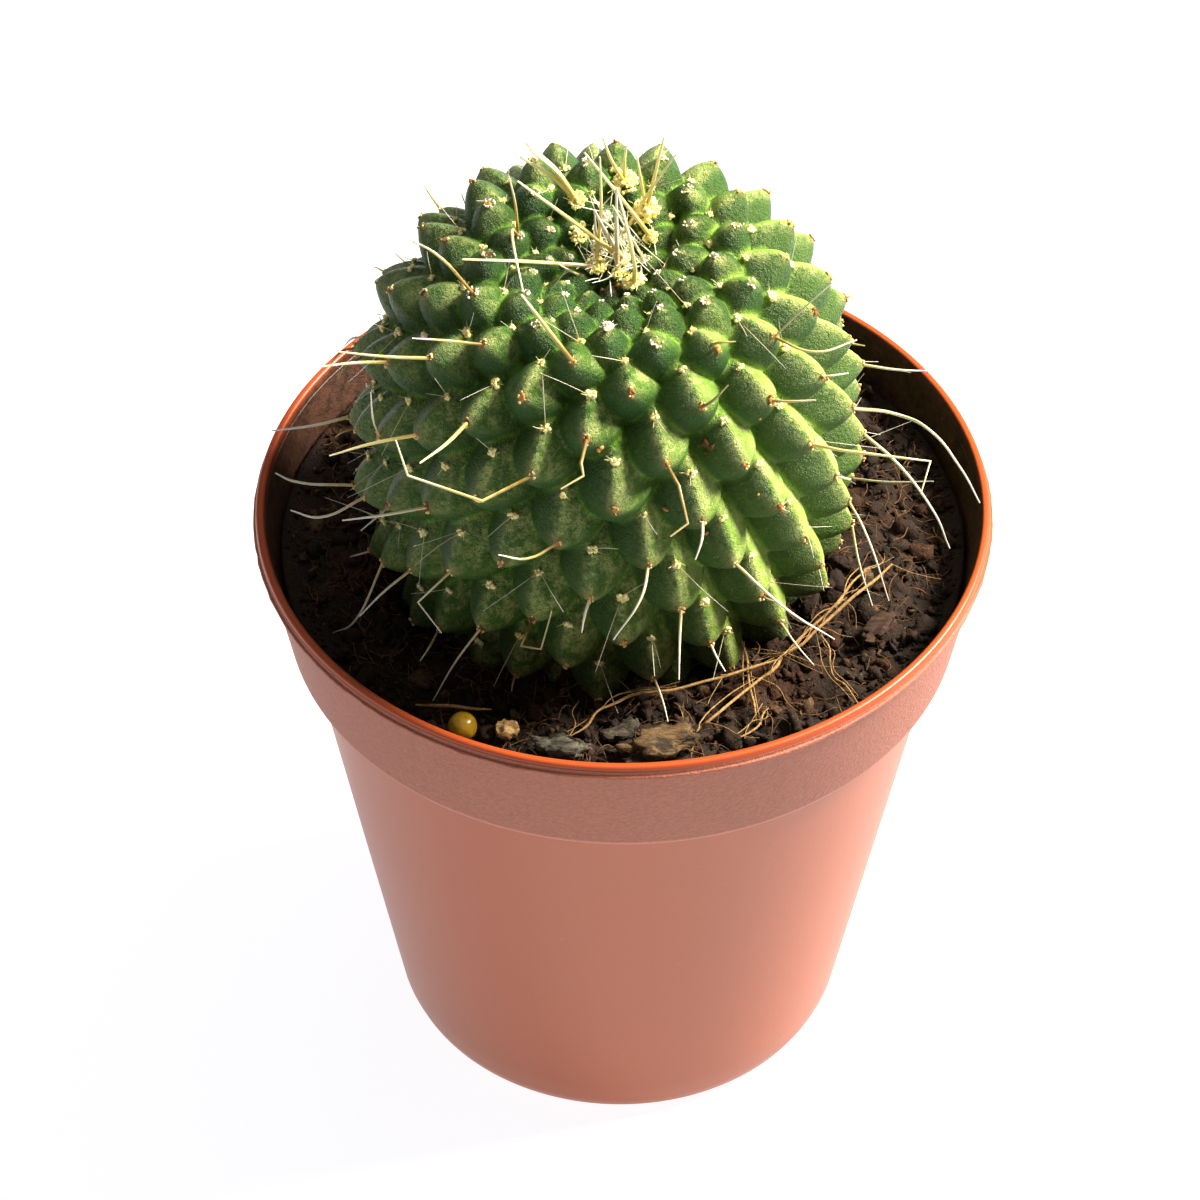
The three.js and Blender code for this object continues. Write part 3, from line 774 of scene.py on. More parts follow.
# the horn, the number of the tubercle, the radius, and a route out, along and up from the areole
spineFamilies = {
    "crown_spine": [
        ("crown", 27, 0.26, [(8.3, -4.5, 3.3)]), ("crown", 3, 0.21, [(12.4, -6.2, -2.2)]),
        ("crown", 1, 0.2, [(5.8, -11.5, 5.4)]), ("crown", 16, 0.19, [(10.8, -3.8, 1.3)]),
        ("crown", 5, 0.2, [(9.0, 4.3, 6.2), (13.0, 2.8, 5.3)]), ("crown", 32, 0.19, [(7.4, -1.6, 0.3)]),
        ("crown", 24, 0.17, [(7.0, -0.5, 2.6)]), ("crown", 24, 0.2, [(7.0, 1.0, 4.8)]),
    ],
    "golden_spine": [
        ("golden", 49, 0.2, [(3.6, -3.2, 2.6), (4.9, -4.4, 3.6)]),
    ],
    "shoulder_spine": [
        ("golden", 46, 0.15, [(5.1, -1.5, -1.0), (6.2, -3.1, -2.1)]),
        ("golden", 30, 0.15, [(6.8, -6.5, 0.8), (7.4, -11.4, -1.5)]),
    ],
    "left_spine": [
        ("crown", 67, 0.15, [(5.7, -3.9, -2.9)]), ("crown", 80, 0.16, [(6.2, 0.4, -0.5)]),
        ("golden", 54, 0.13, [(4.2, -3.4, -2.6)]), ("white", 127, 0.14, [(6.5, 1.3, -0.3)]),
        ("crown", 88, 0.16, [(5.1, -4.1, -3.5)]), ("crown", 75, 0.19, [(4.9, -0.5, -2.7)]),
        ("white", 109, 0.14, [(4.6, -5.1, -2.0)]),
        ("white", 135, 0.13, [(4.1, 0.1, -0.6), (6.2, -1.1, 0.0)]),
        ("white", 148, 0.13, [(5.0, -0.7, 1.0), (6.4, -0.9, 2.2)]),
    ],
    "bent_spine": [
        ("golden", 83, 0.15, [(2.8, -3.2, -1.7), (4.5, -9.2, 0.0), (4.9, -10.4, 3.2)]),
    ],
    "kinked_spine": [
        ("brown", 70, 0.17, [(2.5, -0.2, -1.2), (3.2, 0.1, -2.0), (4.3, -1.6, -2.9)]),
        ("brown", 78, 0.17, [(3.0, 0.3, -0.7), (4.3, 0.5, -3.5), (4.7, -1.1, -4.2)]),
    ],
    "lower_spine": [
        ("white", 156, 0.12, [(3.9, 1.8, -3.1), (5.5, -0.5, -6.8)]),
        ("white", 143, 0.12, [(5.6, -0.2, -1.4)]),
        ("white", 130, 0.11, [(3.0, -1.2, -1.8), (2.9, 1.1, -4.4)]),
        ("white", 151, 0.11, [(4.5, -2.5, -6.5)]),
        ("white", 112, 0.14, [(2.5, -1.0, -0.9), (4.1, -3.6, -3.9)]),
        ("white", 133, 0.14, [(4.4, -1.4, -3.6)]),
        ("white", 120, 0.14, [(3.9, 2.2, -2.4), (4.8, 6.8, -8.4)]),
    ],
    "right_spine": [
        ("golden", 60, 0.13, [(2.9, 0.1, -2.4), (4.6, 2.9, -3.9)]),
        ("white", 102, 0.15, [(2.9, 2.0, -2.5), (6.2, 0.5, -2.4), (8.3, 0.1, -6.0), (9.2, 0.9, -11.5)]),
        ("white", 123, 0.15, [(3.0, -1.6, -1.6), (5.8, -4.0, -3.2), (7.7, -2.5, -11.2)]),
        ("crown", 94, 0.15, [(3.1, 0.0, 0.6), (9.9, 3.0, -0.4), (9.9, 1.1, -2.4)]),
        ("white", 136, 0.13, [(2.8, -3.6, 1.0), (5.6, -4.8, -5.2)]),
    ],
}
spines = {(family if len(members) == 1 else f"{family}_{place}"): spine
          for family, members in spineFamilies.items() for place, spine in enumerate(members, 1)}
# these have sharp bends, and so has the short spine on tubercle 138
kinked = ("bent_spine", "kinked_spine_1", "kinked_spine_2", "lower_spine_3", "right_spine_4", 138)

# shorter and thinner ones that are part of no node
shortSpines = [
    ("crown", 27, 0.26, [(7.0, -5.0, 2.7)]), ("crown", 27, 0.24, [(8.0, -4.3, 2.8)]),
    ("crown", 1, 0.18, [(11.5, 1.0, 3.4)]), ("crown", 32, 0.18, [(4.8, 0.1, 1.2)]),
    ("crown", 11, 0.17, [(7.7, 4.1, 5.9)]), ("white", 3, 0.24, [(7.4, -1.3, 0.2)]),
    ("white", 0, 0.22, [(7.9, -2.4, 1.0)]), ("white", 6, 0.17, [(4.0, -0.4, 1.9)]),
    ("white", 11, 0.16, [(4.0, -2.0, 0.5)]), ("white", 8, 0.14, [(6.9, -1.1, 0.5)]),
    ("white", 1, 0.17, [(3.0, -3.8, 1.0)]), ("white", 4, 0.13, [(1.2, -0.1, 2.7)]),
    ("golden", 30, 0.14, [(6.3, -0.2, 3.0)]), ("white", 101, 0.1, [(4.2, 3.7, 10.0)]),
    ("brown", 138, 0.12, [(2.5, -0.3, -0.6), (3.0, 1.6, 0.3), (1.4, 2.1, 3.7)]),
    ("white", 125, 0.15, [(1.5, -0.6, -2.6)]), ("golden", 73, 0.13, [(3.5, 1.7, -0.4)]),
    ("white", 110, 0.13, [(5.7, -1.2, -0.7)]), ("white", 122, 0.12, [(4.0, 1.9, 1.4)]),
    ("golden", 96, 0.15, [(1.5, 1.0, 1.2), (2.6, 0.9, 2.2)]), ("golden", 164, 0.12, [(4.0, 1.7, 2.0)]),
    ("brown", 52, 0.15, [(2.2, -0.9, 0.3), (3.0, 0.3, -0.4)]),
    ("brown", 65, 0.15, [(2.2, 0.3, 0.8), (3.0, 1.6, 1.8)]),
    ("white", 60, 0.08, [(4.1, 2.4, 1.1), (5.9, 4.2, 1.3)]), ("white", 165, 0.1, [(5.2, -5.1, 6.0)]),
    ("white", 157, 0.13, [(3.5, -3.7, -5.7)]), ("white", 167, 0.12, [(3.6, 0.6, -1.2)]),
    ("white", 154, 0.13, [(2.4, 0.4, -1.0)]), ("white", 162, 0.12, [(4.0, 0.6, -2.4)]),
    ("golden", 104, 0.14, [(1.8, -2.2, -0.4), (2.8, -4.4, 0.5)]),
]


def taper(radius, count, end=0.4):
    return [radius * (1 - (1 - end) * (step / count) ** 1.6) for step in range(count + 1)]


def spineStrand(number, radius, route, bent=False):
    # its root is a little under the skin, and one with a single offset is bowed a little
    base, out, side, up = skinPlace(number, lift=-0.15)
    points = [base] + [fromAreole(number, offsets) for offsets in route]
    if len(points) == 2:
        span = points[1] - points[0]
        bow = 0.035 * span.length * (side * math.sin(number * 1.7) + out * math.cos(number * 2.3))
        points.insert(1, points[0] + 0.5 * span + bow)
    return points, taper(radius, len(points) - 1), bent


scatteredSpines = {
    "numbers": range(24, 188), "top": 88.0, "back": 6.0,  # none above the top, more behind the back
    "share": 0.4, "longest": 2.6, "backShare": 0.7, "backLongest": 4.4, "radii": (0.09, 0.15),
}


def makeSpines():
    for name, (horn, number, radius, route) in spines.items():
        mesh = strandMesh([spineStrand(number, radius, route, name in kinked)], sides=8, resolution=7)
        finishPiece(name, mesh, horns[horn], covers=[name])
    listed = {spine[1] for spine in [*spines.values(), *shortSpines]}
    source = random.Random(5)
    groups = {horn: [spineStrand(number, radius, route, number in kinked)
                     for kind, number, radius, route in shortSpines if kind == horn]
              for horn in horns}
    for number in scatteredSpines["numbers"]:
        place = skinPlace(number)[0]
        behind = place.y > scatteredSpines["back"]
        share = scatteredSpines["backShare" if behind else "share"]
        if number in listed or source.random() > share or place.z > scatteredSpines["top"]:
            continue
        horn = source.choice(["golden", "brown", "white", "white"])
        size = source.uniform(1.0, scatteredSpines["backLongest" if behind else "longest"])
        lean = source.uniform(-0.9, 0.9) * size
        droop = source.uniform(-0.9, 0.5) * size
        route = [(0.5 * size, 0.4 * lean, 0.3 * droop), (0.8 * size, lean, 0.9 * droop)]
        groups[horn].append(spineStrand(number, source.uniform(*scatteredSpines["radii"]), route))
    for horn, strands in groups.items():
        finishPiece("short_spines_" + horn, strandMesh(strands, sides=6, resolution=4),
                    horns[horn])


makeSpines()
print("spines made")


# areoles: crumbs of wool round a brown scar on each tip, a wool tuft in each axil

wool = {
    "areoles": range(8, 192), "axils": range(20, 186), "fullSpacing": 4.5,
    "scarSize": 0.3, "youngScars": 0.3, "ringGap": 0.6,
    "axilRadius": 0.4, "axilCrumbs": 16, "axilHairs": 5, "hairRadius": 0.025,
    "bristleRadius": 0.036, "bristleLength": (1.8, 5.6), "bristles": (0, 1, 1, 2),
    # radius of the tuft on each numbered tubercle of the crown, and the tufts that are nodes
    "yellowTufts": {14: 0.9, 24: 1.25, 32: 1.15, 5: 1.1, 1: 0.95, 16: 0.75, 0: 0.75, 27: 0.9, 3: 0.8},
    "whiteTufts": {6: 0.85, 11: 0.85, 19: 0.6, 8: 0.5, 36: 0.6, 53: 0.4, 17: 0.4, 9: 0.35},
    "nodeTufts": {14: "crown_wool_1", 24: "crown_wool_2", 32: "crown_wool_3", 5: "crown_wool_4"},
    "crownCrumbs": 110, "crownHairs": 26, "centreHairs": 110, "centreHairLength": (1.0, 3.6),
    "centre": (0, 1, 3, 6, 8, 11, 19),
}
# the ring of crumbs round a tip: how many, their sizes, and the ring's place across and along
rims = {
    "areole_rims": {"crumbs": 8, "sizes": (0.08, 0.15), "ring": (0.85, 1.45)},
    "young_areole_rims": {"crumbs": 18, "sizes": (0.05, 0.11), "ring": (1.7, 1.8)},
}
youngAreoles = 48  # tubercles under this number are the young ones of the crown


def woolMaterial(name, shade, light, fleck):
    material, shader, place, grain = grainyMaterial(name, roughness=0.85, specular=0.2, size=0.25,
                                                    contrast=2.2, bump=(0.05, 0.7))
    paintOn(shader, layCoats(mixColours(grain, paint(*shade), paint(*light)),
                             (rampMask(attributeMask(shader, "tone"), 0.62, 0.9), paint(*fleck))))
    return material


creamWool = woolMaterial("creamWool", (232, 216, 134), (250, 245, 190), (222, 190, 104))
yellowWool = woolMaterial("yellowWool", (250, 236, 132), (255, 251, 190), (244, 216, 108))
whiteWool = woolMaterial("whiteWool", (228, 222, 186), (251, 249, 234), (240, 232, 190))
rimWool = woolMaterial("rimWool", (196, 166, 100), (240, 226, 170), (150, 92, 36))


def scarMaterial():
    # some scars are dark brown, some bright orange-brown
    material, shader, place, grain = grainyMaterial("areoleScar", roughness=0.7, specular=0.3, size=0.25,
                                                    contrast=2.4, bump=(0.05, 0.8))
    dark = mixColours(grain, paint(62, 36, 16), paint(118, 78, 34))
    bright = mixColours(grain, paint(150, 92, 30), paint(206, 158, 84))
    paintOn(shader, mixColours(rampMask(noiseMask(place, 160.0, 1.0), 0.4, 0.58), dark, bright))
    return material


def scarTemplate():
    # a low oval pad with a dented middle
    made = bmesh.new()
    bmesh.ops.create_circle(made, cap_ends=True, segments=10, radius=1.0)
    for thickness, depth in ((0.25, 0.3), (0.3, 0.1), (0.2, -0.15)):
        cap = max(made.faces, key=lambda face: len(face.verts))
        bmesh.ops.inset_individual(made, faces=[cap], thickness=thickness, depth=depth)
    return meshOf(made)


def crumbTemplates(count, subdivisions, dents):
    # dented balls, which addCrumb stretches and turns
    templates = []
    for seed in range(count):
        made = bmesh.new()
        bmesh.ops.create_icosphere(made, subdivisions=subdivisions, radius=1.0)
        for vertex in made.verts:
            vertex.co *= 1 + 2 * dents * noise.noise(vertex.co * 1.4 + Vector((seed * 5.3, 0, 0)))
            vertex.co.z += 0.4 * dents * noise.noise(vertex.co * 3.1 + Vector((0, seed, 0)))
        templates.append(meshOf(made))
        templates[-1].attributes.new("tone", "FLOAT", "POINT")
    return templates


def basis(place, out, side, up, scale):
    turn = Matrix((side, up, out)).transposed().to_4x4()
    return Matrix.Translation(place) @ turn @ Matrix.Diagonal((*scale, 1))


def addCrumb(grown, source, templates, place, size, stretch=0.35):
    scale = [size * (1 + source.uniform(-stretch, stretch)) for axis in range(3)]
    turn = Euler([source.uniform(0, 6.3) for axis in range(3)]).to_matrix().to_4x4()
    copy = source.choice(templates).copy()
    copy.transform(Matrix.Translation(place) @ turn @ Matrix.Diagonal((*scale, 1)))
    copy.attributes["tone"].data.foreach_set("value", [source.random()] * len(copy.vertices))
    grown.from_mesh(copy)
    bpy.data.meshes.remove(copy)


def addTuft(grown, source, templates, spot, radius, count, share=(0.16, 0.32)):
    # a heap of wool crumbs
    place, out, side, up = spot
    for crumb in range(count):
        around = source.uniform(0, 2 * math.pi)
        away = math.sqrt(source.random())
        height = 0.55 * radius * (1 - away ** 2) * source.uniform(0.2, 1.1)
        centre = place + 0.85 * radius * away * (side * math.cos(around) + up * math.sin(around))
        addCrumb(grown, source, templates, centre + out * height, radius * source.uniform(*share))


def hairFrom(source, spot, length, radius, spread, scatter=0.0):
    # a short curly hair that leaves the skin at a random slant
    place, out, side, up = spot
    around = source.uniform(0, 2 * math.pi)
    slant = spread * math.sqrt(source.random())
    flat = side * math.cos(around) + up * math.sin(around)
    aim = (out * math.cos(slant) + flat * math.sin(slant)).normalized()
    start = place + flat * scatter * source.random()
    curl = Vector([source.uniform(-1, 1) for axis in range(3)]) * 0.35 * length
    points = [start - out * 0.1, start + aim * length * 0.55 + 0.6 * curl, start + aim * length + curl]
    return points, [radius, radius * 0.9, radius * 0.5], False


def makeAreoles():
    source = random.Random(23)
    templates = crumbTemplates(4, 1, 0.35)
    scars = []
    grown = {name: bmesh.new() for name in rims}
    for number in wool["areoles"]:
        base, out, side, up = skinPlace(number)
        growth = float(min(1, tubercles["spacing"][number] / wool["fullSpacing"]))
        size = wool["scarSize"] * source.uniform(0.75, 1.2) * growth
        isYoung = number < youngAreoles
        name = "young_areole_rims" if isYoung else "areole_rims"
        if not isYoung or source.random() < wool["youngScars"]:
            scars.append(basis(base - out * 0.08, out, side, up, (size * 0.8, size * 1.3, size)))
        gap = source.uniform(0, 2 * math.pi)
        across, along = rims[name]["ring"]
        for crumb in range(rims[name]["crumbs"]):
            around = source.uniform(0, 2 * math.pi)
            if abs((around - gap + math.pi) % (2 * math.pi) - math.pi) < wool["ringGap"]:
                continue
            away = size * (source.uniform(0.5, 1.1) if isYoung else 1)
            centre = base + away * (side * across * math.cos(around) + up * along * math.sin(around))
            addCrumb(grown[name], source, templates, centre - out * 0.02,
                     source.uniform(*rims[name]["sizes"]))
    finishPiece("areole_scars", plantCopies(scarTemplate(), scars), scarMaterial())
    finishPiece("areole_rims", grown["areole_rims"], rimWool)
    finishPiece("young_areole_rims", grown["young_areole_rims"], whiteWool)


def makeAxilWool():
    source = random.Random(31)
    templates = crumbTemplates(4, 1, 0.35)
    grown = bmesh.new()
    hairs = []
    bristles = []
    for number in wool["axils"]:
        spacing = float(tubercles["spacing"][number])
        size = min(1.0, spacing / 5.0) * source.uniform(0.75, 1.2)
        base, out, side, up = skinPlace(number, 0.0, dome["axilPlace"] * spacing)
        spot = (base + out * 0.05, out, side, up)
        addTuft(grown, source, templates, spot, wool["axilRadius"] * size, wool["axilCrumbs"], (0.25, 0.5))
        for hair in range(wool["axilHairs"]):
            length = source.uniform(0.3, 0.75) * size
            hairs.append(hairFrom(source, spot, length, wool["hairRadius"], 1.4, 0.3 * size))
        for bristle in range(source.choice(wool["bristles"])):
            length = source.uniform(*wool["bristleLength"]) * size
            bristles.append(hairFrom(source, spot, length, wool["bristleRadius"], 1.0))
    finishPiece("axil_wool", grown, creamWool)
    finishPiece("axil_hairs", strandMesh(hairs, resolution=2), creamWool)
    finishPiece("axil_bristles", strandMesh(bristles, resolution=4), horns["white"])


def makeCrownWool():
    source = random.Random(47)
    templates = crumbTemplates(5, 1, 0.4)
    for kind, material in (("yellow", yellowWool), ("white", whiteWool)):
        small = bmesh.new()
        hairs = []
        for number, radius in wool[kind + "Tufts"].items():
            spot = skinPlace(number)
            node = wool["nodeTufts"].get(number)
            grown = bmesh.new() if node else small
            crumbs = round(wool["crownCrumbs"] * radius ** 1.5)
            addTuft(grown, source, templates, spot, radius, crumbs, (0.09, 0.2))
            fuzz = [hairFrom(source, spot, radius * source.uniform(0.3, 0.7), 0.03, 1.5, 0.8 * radius)
                    for hair in range(round(wool["crownHairs"] * radius))]
            if node:
                grown.from_mesh(strandMesh(fuzz))
                finishPiece(node, grown, material, covers=[node])
            else:
                hairs.extend(fuzz)
        for hair in range(wool["centreHairs"] if kind == "white" else 0):
            number = source.choice(wool["centre"])
            spot = skinPlace(number, source.uniform(-1, 1), source.uniform(-1, 1))
            hairs.append(hairFrom(source, spot, source.uniform(*wool["centreHairLength"]), 0.05, 1.25))
        finishPiece("crown_wool_" + kind, small, material)
        finishPiece("crown_hairs_" + kind, strandMesh(hairs), material)


makeAreoles()
makeAxilWool()
makeCrownWool()

# small corky blemishes on the skin: tubercle, place across and up from its tip, size
blemishes = [
    (86, -2.1, 1.9, 0.3), (86, -1.8, 1.6, 0.22), (86, -2.4, 1.1, 0.16), (99, -2.6, 0.3, 0.28),
    (120, -1.6, 2.3, 0.18), (70, 1.0, -1.3, 0.26), (70, 1.2, -1.1, 0.18), (73, -1.0, -1.5, 0.2),
    (107, -1.2, 1.4, 0.16), (171, 1.3, 0.9, 0.24), (153, -1.1, 1.6, 0.2), (118, 1.6, 0.6, 0.22),
    (74, -1.2, 1.2, 0.2), (92, 1.4, -0.8, 0.2), (145, 0.9, 1.8, 0.22),
    (2, 0.1, 0.9, 0.3), (2, -0.5, 0.7, 0.24), (0, -0.9, -0.3, 0.26),
]


def makeBlemishes():
    source = random.Random(59)
    templates = crumbTemplates(3, 2, 0.3)
    grown = bmesh.new()
    for number, across, upward, size in blemishes:
        addCrumb(grown, source, templates, skinPlace(number, across, upward)[0], size, 0.3)
    finishPiece("skin_blemishes", grown, scarMaterial())


makeBlemishes()
print("areoles and wool made")


# potting soil, with its crumbs and fibres

soil = {
    "level": 55.2, "edge": 30.2, "rings": 84, "steps": 260, "lumps": 1.5, "clods": 0.6, "grit": 0.7,
    "stemRadius": 18.2, "stemPlace": (-1.6, -0.9), "moat": 0.9, "moatWidth": 2.0,
    "wallZone": 28.0, "fibres": 900, "fibreRadii": (0.025, 0.07),
    # (radius, height, rounding) of the buried part, from the middle of the pot's floor up the wall
    "outline": [(0, 2.4, 0), (18.0, 2.4, 0.3), (19.3, 5.0, 0.3), (27.2, 45.3, 0.3), (28.6, 49.3, 0.3)],
    # how many, the faces of each (as subdivisions of a ball), and the smallest and largest
    "soil_crumbs": (1500, 2, (0.24, 0.95)), "soil_grains": (3400, 1, (0.12, 0.3)),
}


def soilMaterial():
    material, shader, place, grain = grainyMaterial("peat", roughness=0.9, specular=0.25, size=0.5,
                                                    contrast=3.0, bump=(0.25, 1.0))
    tone = attributeMask(shader, "tone")
    warm = mixColours(grain, paint(40, 24, 13), paint(78, 48, 27))
    pale = mixColours(grain, paint(70, 52, 34), paint(124, 98, 68))
    paintOn(shader, layCoats(
        mixColours(noiseMask(place, 260.0, 4.0, 0.6), paint(24, 18, 13), paint(50, 35, 23)),
        (rampMask(noiseMask(place, 90.0, 2.0), 0.52, 0.68), warm),
        (rampMask(tone, 0.5, 0.85), warm),
        (rampMask(tone, 0.92, 0.98), pale),
        (times(grain, 0.35), paint(20, 14, 10))))
    return material


peat = soilMaterial()


def stemGap(x, y):
    return math.hypot(x - soil["stemPlace"][0], y - soil["stemPlace"][1]) - soil["stemRadius"]


def soilHeight(x, y):
    # lumps, clods and grit, lower round the stem and level at the pot's wall
    place = Vector((x, y, 0))
    height = soil["lumps"] * noise.noise(place * 0.16)
    height += soil["clods"] * noise.noise(place * 0.45 + Vector((7, 3, 1)))
    height += soil["grit"] * abs(noise.noise(place * 1.1)) - 0.25
    height -= soil["moat"] * math.exp(-(stemGap(x, y) / soil["moatWidth"]) ** 2)
    radius = math.hypot(x, y)
    if radius >= soil["wallZone"]:
        height *= max(0.3, (soil["edge"] - radius) / (soil["edge"] - soil["wallZone"]))
    return soil["level"] + height


def makeSoil():
    # the outline follows the pot's inside with a small gap, then comes in over the top in many rings
    inwards = (soil["edge"] * (1 - ring / soil["rings"]) for ring in range(soil["rings"] + 1))
    made = turnProfile([*soil["outline"], (soil["edge"], soil["level"] - 1.2, 0),
                        *((radius, soil["level"], 0) for radius in inwards)], soil["steps"])
    for vertex in made.verts:
        if vertex.co.z > soil["level"] - 0.01:
            vertex.co.z = soilHeight(vertex.co.x, vertex.co.y)
    finishPiece("potting_soil", made, peat, covers=["potting_soil"])


def soilSpot(source, clear):
    # a random place on the soil between the stem and the wall
    while True:
        x = source.uniform(-30, 30)
        y = source.uniform(-30, 30)
        if math.hypot(x, y) < soil["edge"] - clear and stemGap(x, y) > -1.5:
            return x, y


def makeCrumbs():
    source = random.Random(61)
    for name in ("soil_crumbs", "soil_grains"):
        count, subdivisions, (smallest, largest) = soil[name]
        templates = crumbTemplates(5, subdivisions, 0.42)
        grown = bmesh.new()
        for crumb in range(count):
            size = smallest + (largest - smallest) * source.random() ** 3
            x, y = soilSpot(source, size + 0.2)
            place = Vector((x, y, soilHeight(x, y) + 0.25 * size))
            addCrumb(grown, source, templates, place, 0.9 * size, 0.55)
        finishPiece(name, grown, peat)


def fibreMaterial(name, dark, light):
    material, shader, place, grain = grainyMaterial(name, roughness=0.75, specular=0.3, size=0.4,
                                                    contrast=2.2, bump=(0.08, 0.9))
    blotches = rampMask(noiseMask(place, 150.0, 2.0), 0.5, 0.7)
    paintOn(shader, layCoats(mixColours(grain, dark, light), (times(blotches, 0.6), dark)))
    return material


rootFibre = fibreMaterial("rootFibre", paint(104, 72, 38), paint(178, 144, 88))
peatFibre = fibreMaterial("peatFibre", paint(44, 27, 15), paint(128, 88, 48))


def makeFibres():
    source = random.Random(73)
    strands = []
    for fibre in range(soil["fibres"]):
        x, y = soilSpot(source, 1.0)
        heading = source.uniform(0, 2 * math.pi)
        points = []
        for step in range(4):
            points.append(Vector((x, y, soilHeight(x, y) + source.uniform(0.1, 1.0))))
            heading += source.uniform(-0.8, 0.8)
            stride = source.uniform(0.4, 1.5)
            x += stride * math.cos(heading)
            y += stride * math.sin(heading)
            if math.hypot(x, y) > soil["edge"] - 0.4:
                break
        if len(points) > 1:
            radius = source.uniform(*soil["fibreRadii"])
            strands.append((points, taper(radius, len(points) - 1), False))
    finishPiece("soil_fibres", strandMesh(strands), peatFibre)


makeSoil()
makeCrumbs()
makeFibres()
print("soil made")


# dry roots, bark, a pale grain and a fertilizer bead on the soil

roots = {
    "root_strand_1": (0.15, [(23.5, -6.5, 58.4), (20.4, -10.0, 58.0), (16.6, -14.2, 57.8),
                             (14.0, -17.1, 57.6), (12.1, -19.7, 57.3), (7.4, -24.5, 56.9),
                             (6.2, -25.0, 56.5)]),
    "root_strand_2": (0.12, [(21.1, -6.4, 57.6), (18.9, -9.8, 57.4), (16.6, -13.4, 57.6),
                             (14.0, -16.9, 57.8)]),
    "root_strand_3": (0.13, [(13.6, -17.2, 57.4), (8.6, -19.6, 57.3), (4.7, -20.5, 57.2),
                             (1.0, -21.3, 57.0), (-1.8, -23.4, 56.8), (-4.3, -25.9, 56.6)]),
    "root_strand_4": (0.11, [(10.4, -14.4, 57.4), (10.7, -16.8, 56.9), (11.0, -20.0, 56.6),
                             (11.5, -23.6, 56.4)]),
    "root_strand_5": (0.1, [(16.8, -13.6, 57.4), (17.9, -15.6, 56.9), (18.2, -18.4, 56.6),
                            (20.2, -21.5, 56.4)]),
    "root_strand_6": (0.1, [(10.3, -26.1, 56.7), (11.6, -24.4, 56.9), (12.7, -22.7, 56.9)]),
    "straw": (0.17, [(-17.5, -22.4, 56.5), (-14.3, -22.8, 56.7), (-11.0, -22.9, 56.5)]),
}
rootSway = {"root": 0.24, "companion": 0.4, "straw": 0.08}
rootlets = {"count": 26, "radius": 0.05, "from": (1, 1, 3, 2)}  # numbers of the strands they leave


def wavyStrand(source, route, radius, sway, shift=Vector((0, 0, 0))):
    points = []
    for first, second in zip(route, route[1:]):
        for share in (0.0, 0.5):
            points.append(Vector(first).lerp(Vector(second), share))
    points.append(Vector(route[-1]))
    for point in points:
        point += shift + Vector([source.uniform(-sway, sway) for axis in range(3)])
    radii = [radius * source.uniform(0.8, 1.15) for point in points]
    radii[-1] *= 0.4
    radii[0] *= 0.6
    return points, radii, False


def makeRoots():
    source = random.Random(83)
    for name, (radius, route) in roots.items():
        isStraw = name == "straw"
        strands = [wavyStrand(source, route, radius, rootSway["straw" if isStraw else "root"])]
        for companion in range(0 if isStraw else 2):
            # a thinner root beside part of the way
            first = source.randrange(0, max(1, len(route) - 2))
            part = route[first:first + source.randrange(2, 5)]
            if len(part) > 1:
                drift = Vector([source.uniform(*reach) for reach in ((-0.6, 0.6), (-0.6, 0.6), (-0.2, 0.4))])
                strands.append(wavyStrand(source, part, 0.45 * radius, rootSway["companion"], drift))
        finishPiece(name, strandMesh(strands, sides=6, resolution=4), rootFibre, covers=[name])
    strands = []
    for rootlet in range(rootlets["count"]):
        route = roots[f"root_strand_{source.choice(rootlets['from'])}"][1]
        knot = Vector(source.choice(route))
        heading = source.uniform(0, 2 * math.pi)
        points = [knot]
        for step in range(3):
            heading += source.uniform(-0.7, 0.7)
            knot = knot + Vector((math.cos(heading), math.sin(heading), -0.15)) * source.uniform(0.7, 2.0)
            knot.z = max(knot.z, soilHeight(knot.x, knot.y) + 0.2)
            points.append(knot)
        if all(point.xy.length < soil["edge"] - 0.5 for point in points):
            strands.append((points, taper(rootlets["radius"], 3), False))
    finishPiece("rootlets", strandMesh(strands, resolution=4), rootFibre)


makeRoots()

# place, size, turn about the vertical, and the dark and light paint
bark = {
    "bark_chip": ((3.2, -27.2, 57.0), (6.0, 2.6, 1.6), 22, (36, 25, 13), (124, 96, 58)),
    "bark_flake_1": ((-5.0, -27.2, 56.6), (4.4, 1.9, 0.9), -12, (22, 19, 14), (98, 92, 78)),
    "bark_flake_2": ((0.2, -24.8, 56.1), (3.2, 1.5, 0.8), 30, (26, 20, 13), (92, 80, 60)),
    "bark_flake_3": ((22.4, -12.2, 56.5), (4.6, 2.0, 1.0), 60, (32, 20, 12), (84, 54, 32)),
    "perlite_grain": ((-9.6, -25.2, 56.4), (2.0, 1.4, 1.1), 15, (140, 100, 52), (206, 176, 122)),
}


def barkMaterial(name, dark, light):
    material, shader, place = newMaterial(name, roughness=0.8, specular=0.3)
    wrinkled = addNode(shader.id_data, "ShaderNodeMapping", {"Vector": place, "Scale": (1.0, 3.4, 2.0)})
    ridges = noiseMask(wrinkled.outputs[0], 380.0, 5.0, 0.7)
    grain = placeGroup(fineGrain, place, Size=0.35, Contrast=2.4)
    paintOn(shader, layCoats(mixColours(rampMask(ridges, 0.38, 0.66), dark, light),
                             (times(grain["Mask"], 0.5), dark)))
    bumpFrom(shader, ridges, 0.5, 0.9)
    return material


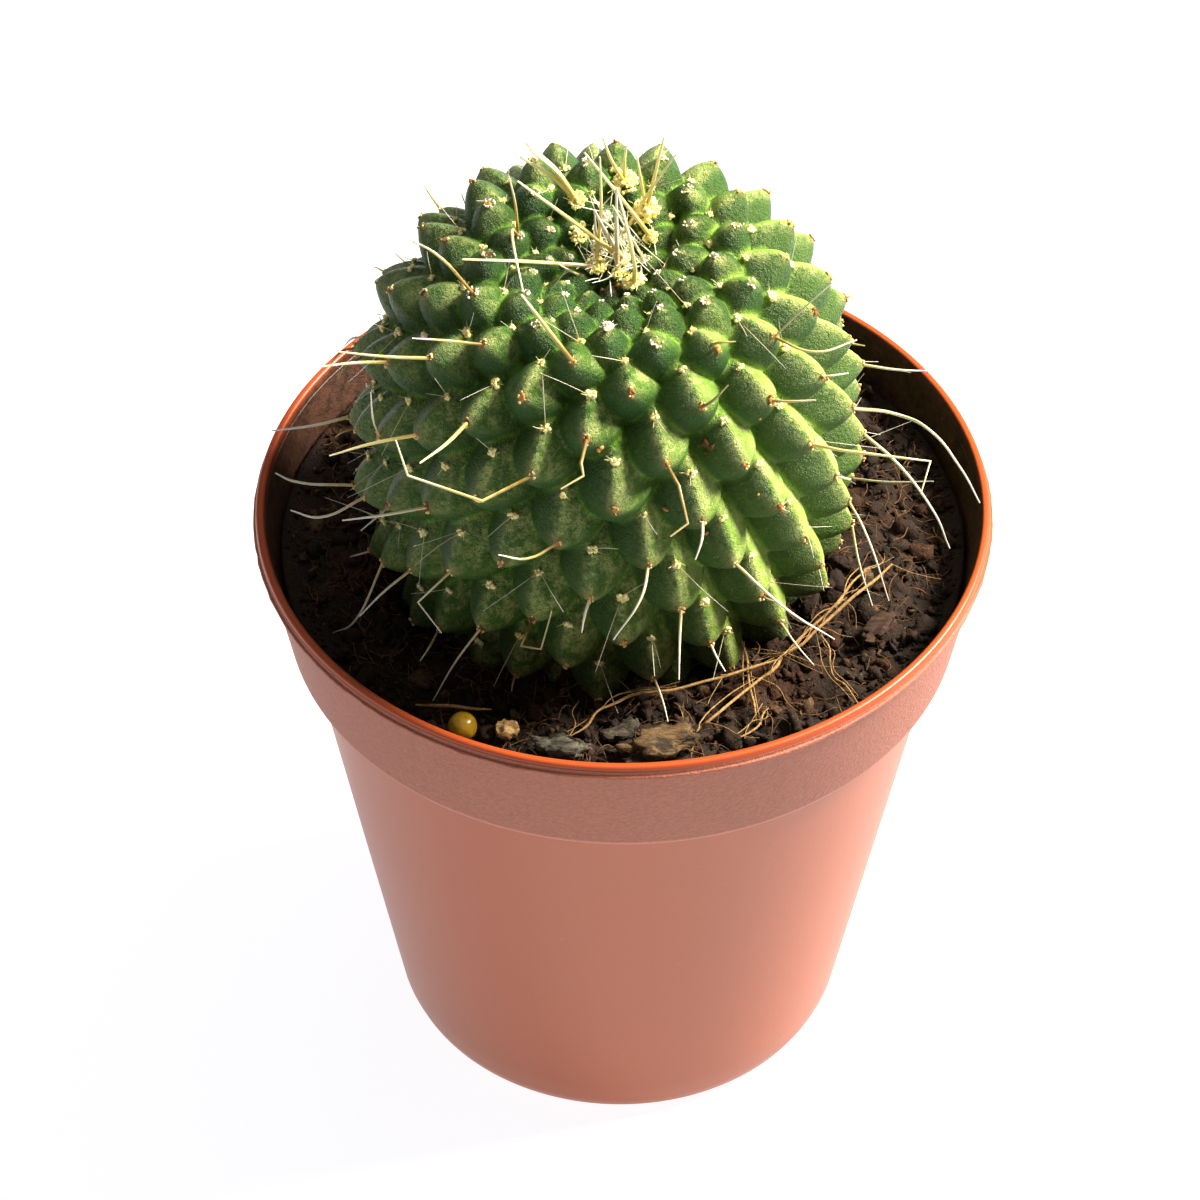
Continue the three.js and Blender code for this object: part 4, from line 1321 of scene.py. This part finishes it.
def makeBark():
    # a rounded block, worn by noise and narrower at its ends
    for seed, (name, (place, size, turn, dark, light)) in enumerate(bark.items()):
        made = bmesh.new()
        bmesh.ops.create_cube(made, size=1.0)
        bmesh.ops.bevel(made, geom=made.edges[:], offset=0.22, affect="EDGES", segments=2, profile=0.5,
                        material=-1)
        bmesh.ops.subdivide_edges(made, edges=made.edges[:], cuts=3, use_grid_fill=True)
        for vertex in made.verts:
            spot = Vector(vertex.co[axis] * size[axis] for axis in range(3))
            rough = noise.noise(spot * 0.9 + Vector((seed * 9, 0, 0)))
            fine = noise.noise(spot * 2.6 + Vector((0, seed * 9, 0)))
            gnarl = noise.noise(spot * 4.5 + Vector((0, 0, seed * 9)))
            narrow = 1 - 0.45 * abs(2 * spot.x / size[0]) ** 2
            shrink = 1 + 0.45 * rough + 0.25 * fine
            spot.x *= shrink
            spot.y *= shrink * narrow
            spot.z *= (1 + 0.35 * rough) * narrow
            spot.z += 0.4 * rough + 0.3 * fine + 0.15 * gnarl
            spot.y += 0.3 * fine + 0.15 * gnarl
            vertex.co = spot
        where = Matrix.Translation(place) @ Matrix.Rotation(math.radians(turn), 4, "Z")
        bmesh.ops.transform(made, matrix=where, verts=made.verts)
        bmesh.ops.recalc_face_normals(made, faces=made.faces)
        material = barkMaterial(name + "Surface", paint(*dark), paint(*light))
        finishPiece(name, made, material, covers=[name])


makeBark()

bead = {"place": (-13.4, -25.1, 56.75), "radius": 1.25, "unevenness": 0.03}


def makeBead():
    material, shader, place = newMaterial("beadCoating", roughness=0.25, specular=0.5)
    cloud = noiseMask(place, 900.0, 3.0)
    spots = placeGroup(scatteredSpecks, place, Spacing=0.7, Share=0.22)["Mask"]
    paintOn(shader, layCoats(mixColours(cloud, paint(120, 88, 10), paint(184, 144, 34)),
                             (times(spots, 0.5), paint(84, 56, 12))))
    bumpFrom(shader, cloud, 0.08, 0.6)
    made = bmesh.new()
    bmesh.ops.create_icosphere(made, subdivisions=4, radius=bead["radius"])
    for vertex in made.verts:
        vertex.co *= 1 + bead["unevenness"] * noise.noise(vertex.co * 1.4)
    bmesh.ops.translate(made, vec=bead["place"], verts=made.verts)
    finishPiece("fertilizer_bead", made, material, covers=["fertilizer_bead"])


makeBead()
print("roots, bark and bead made")
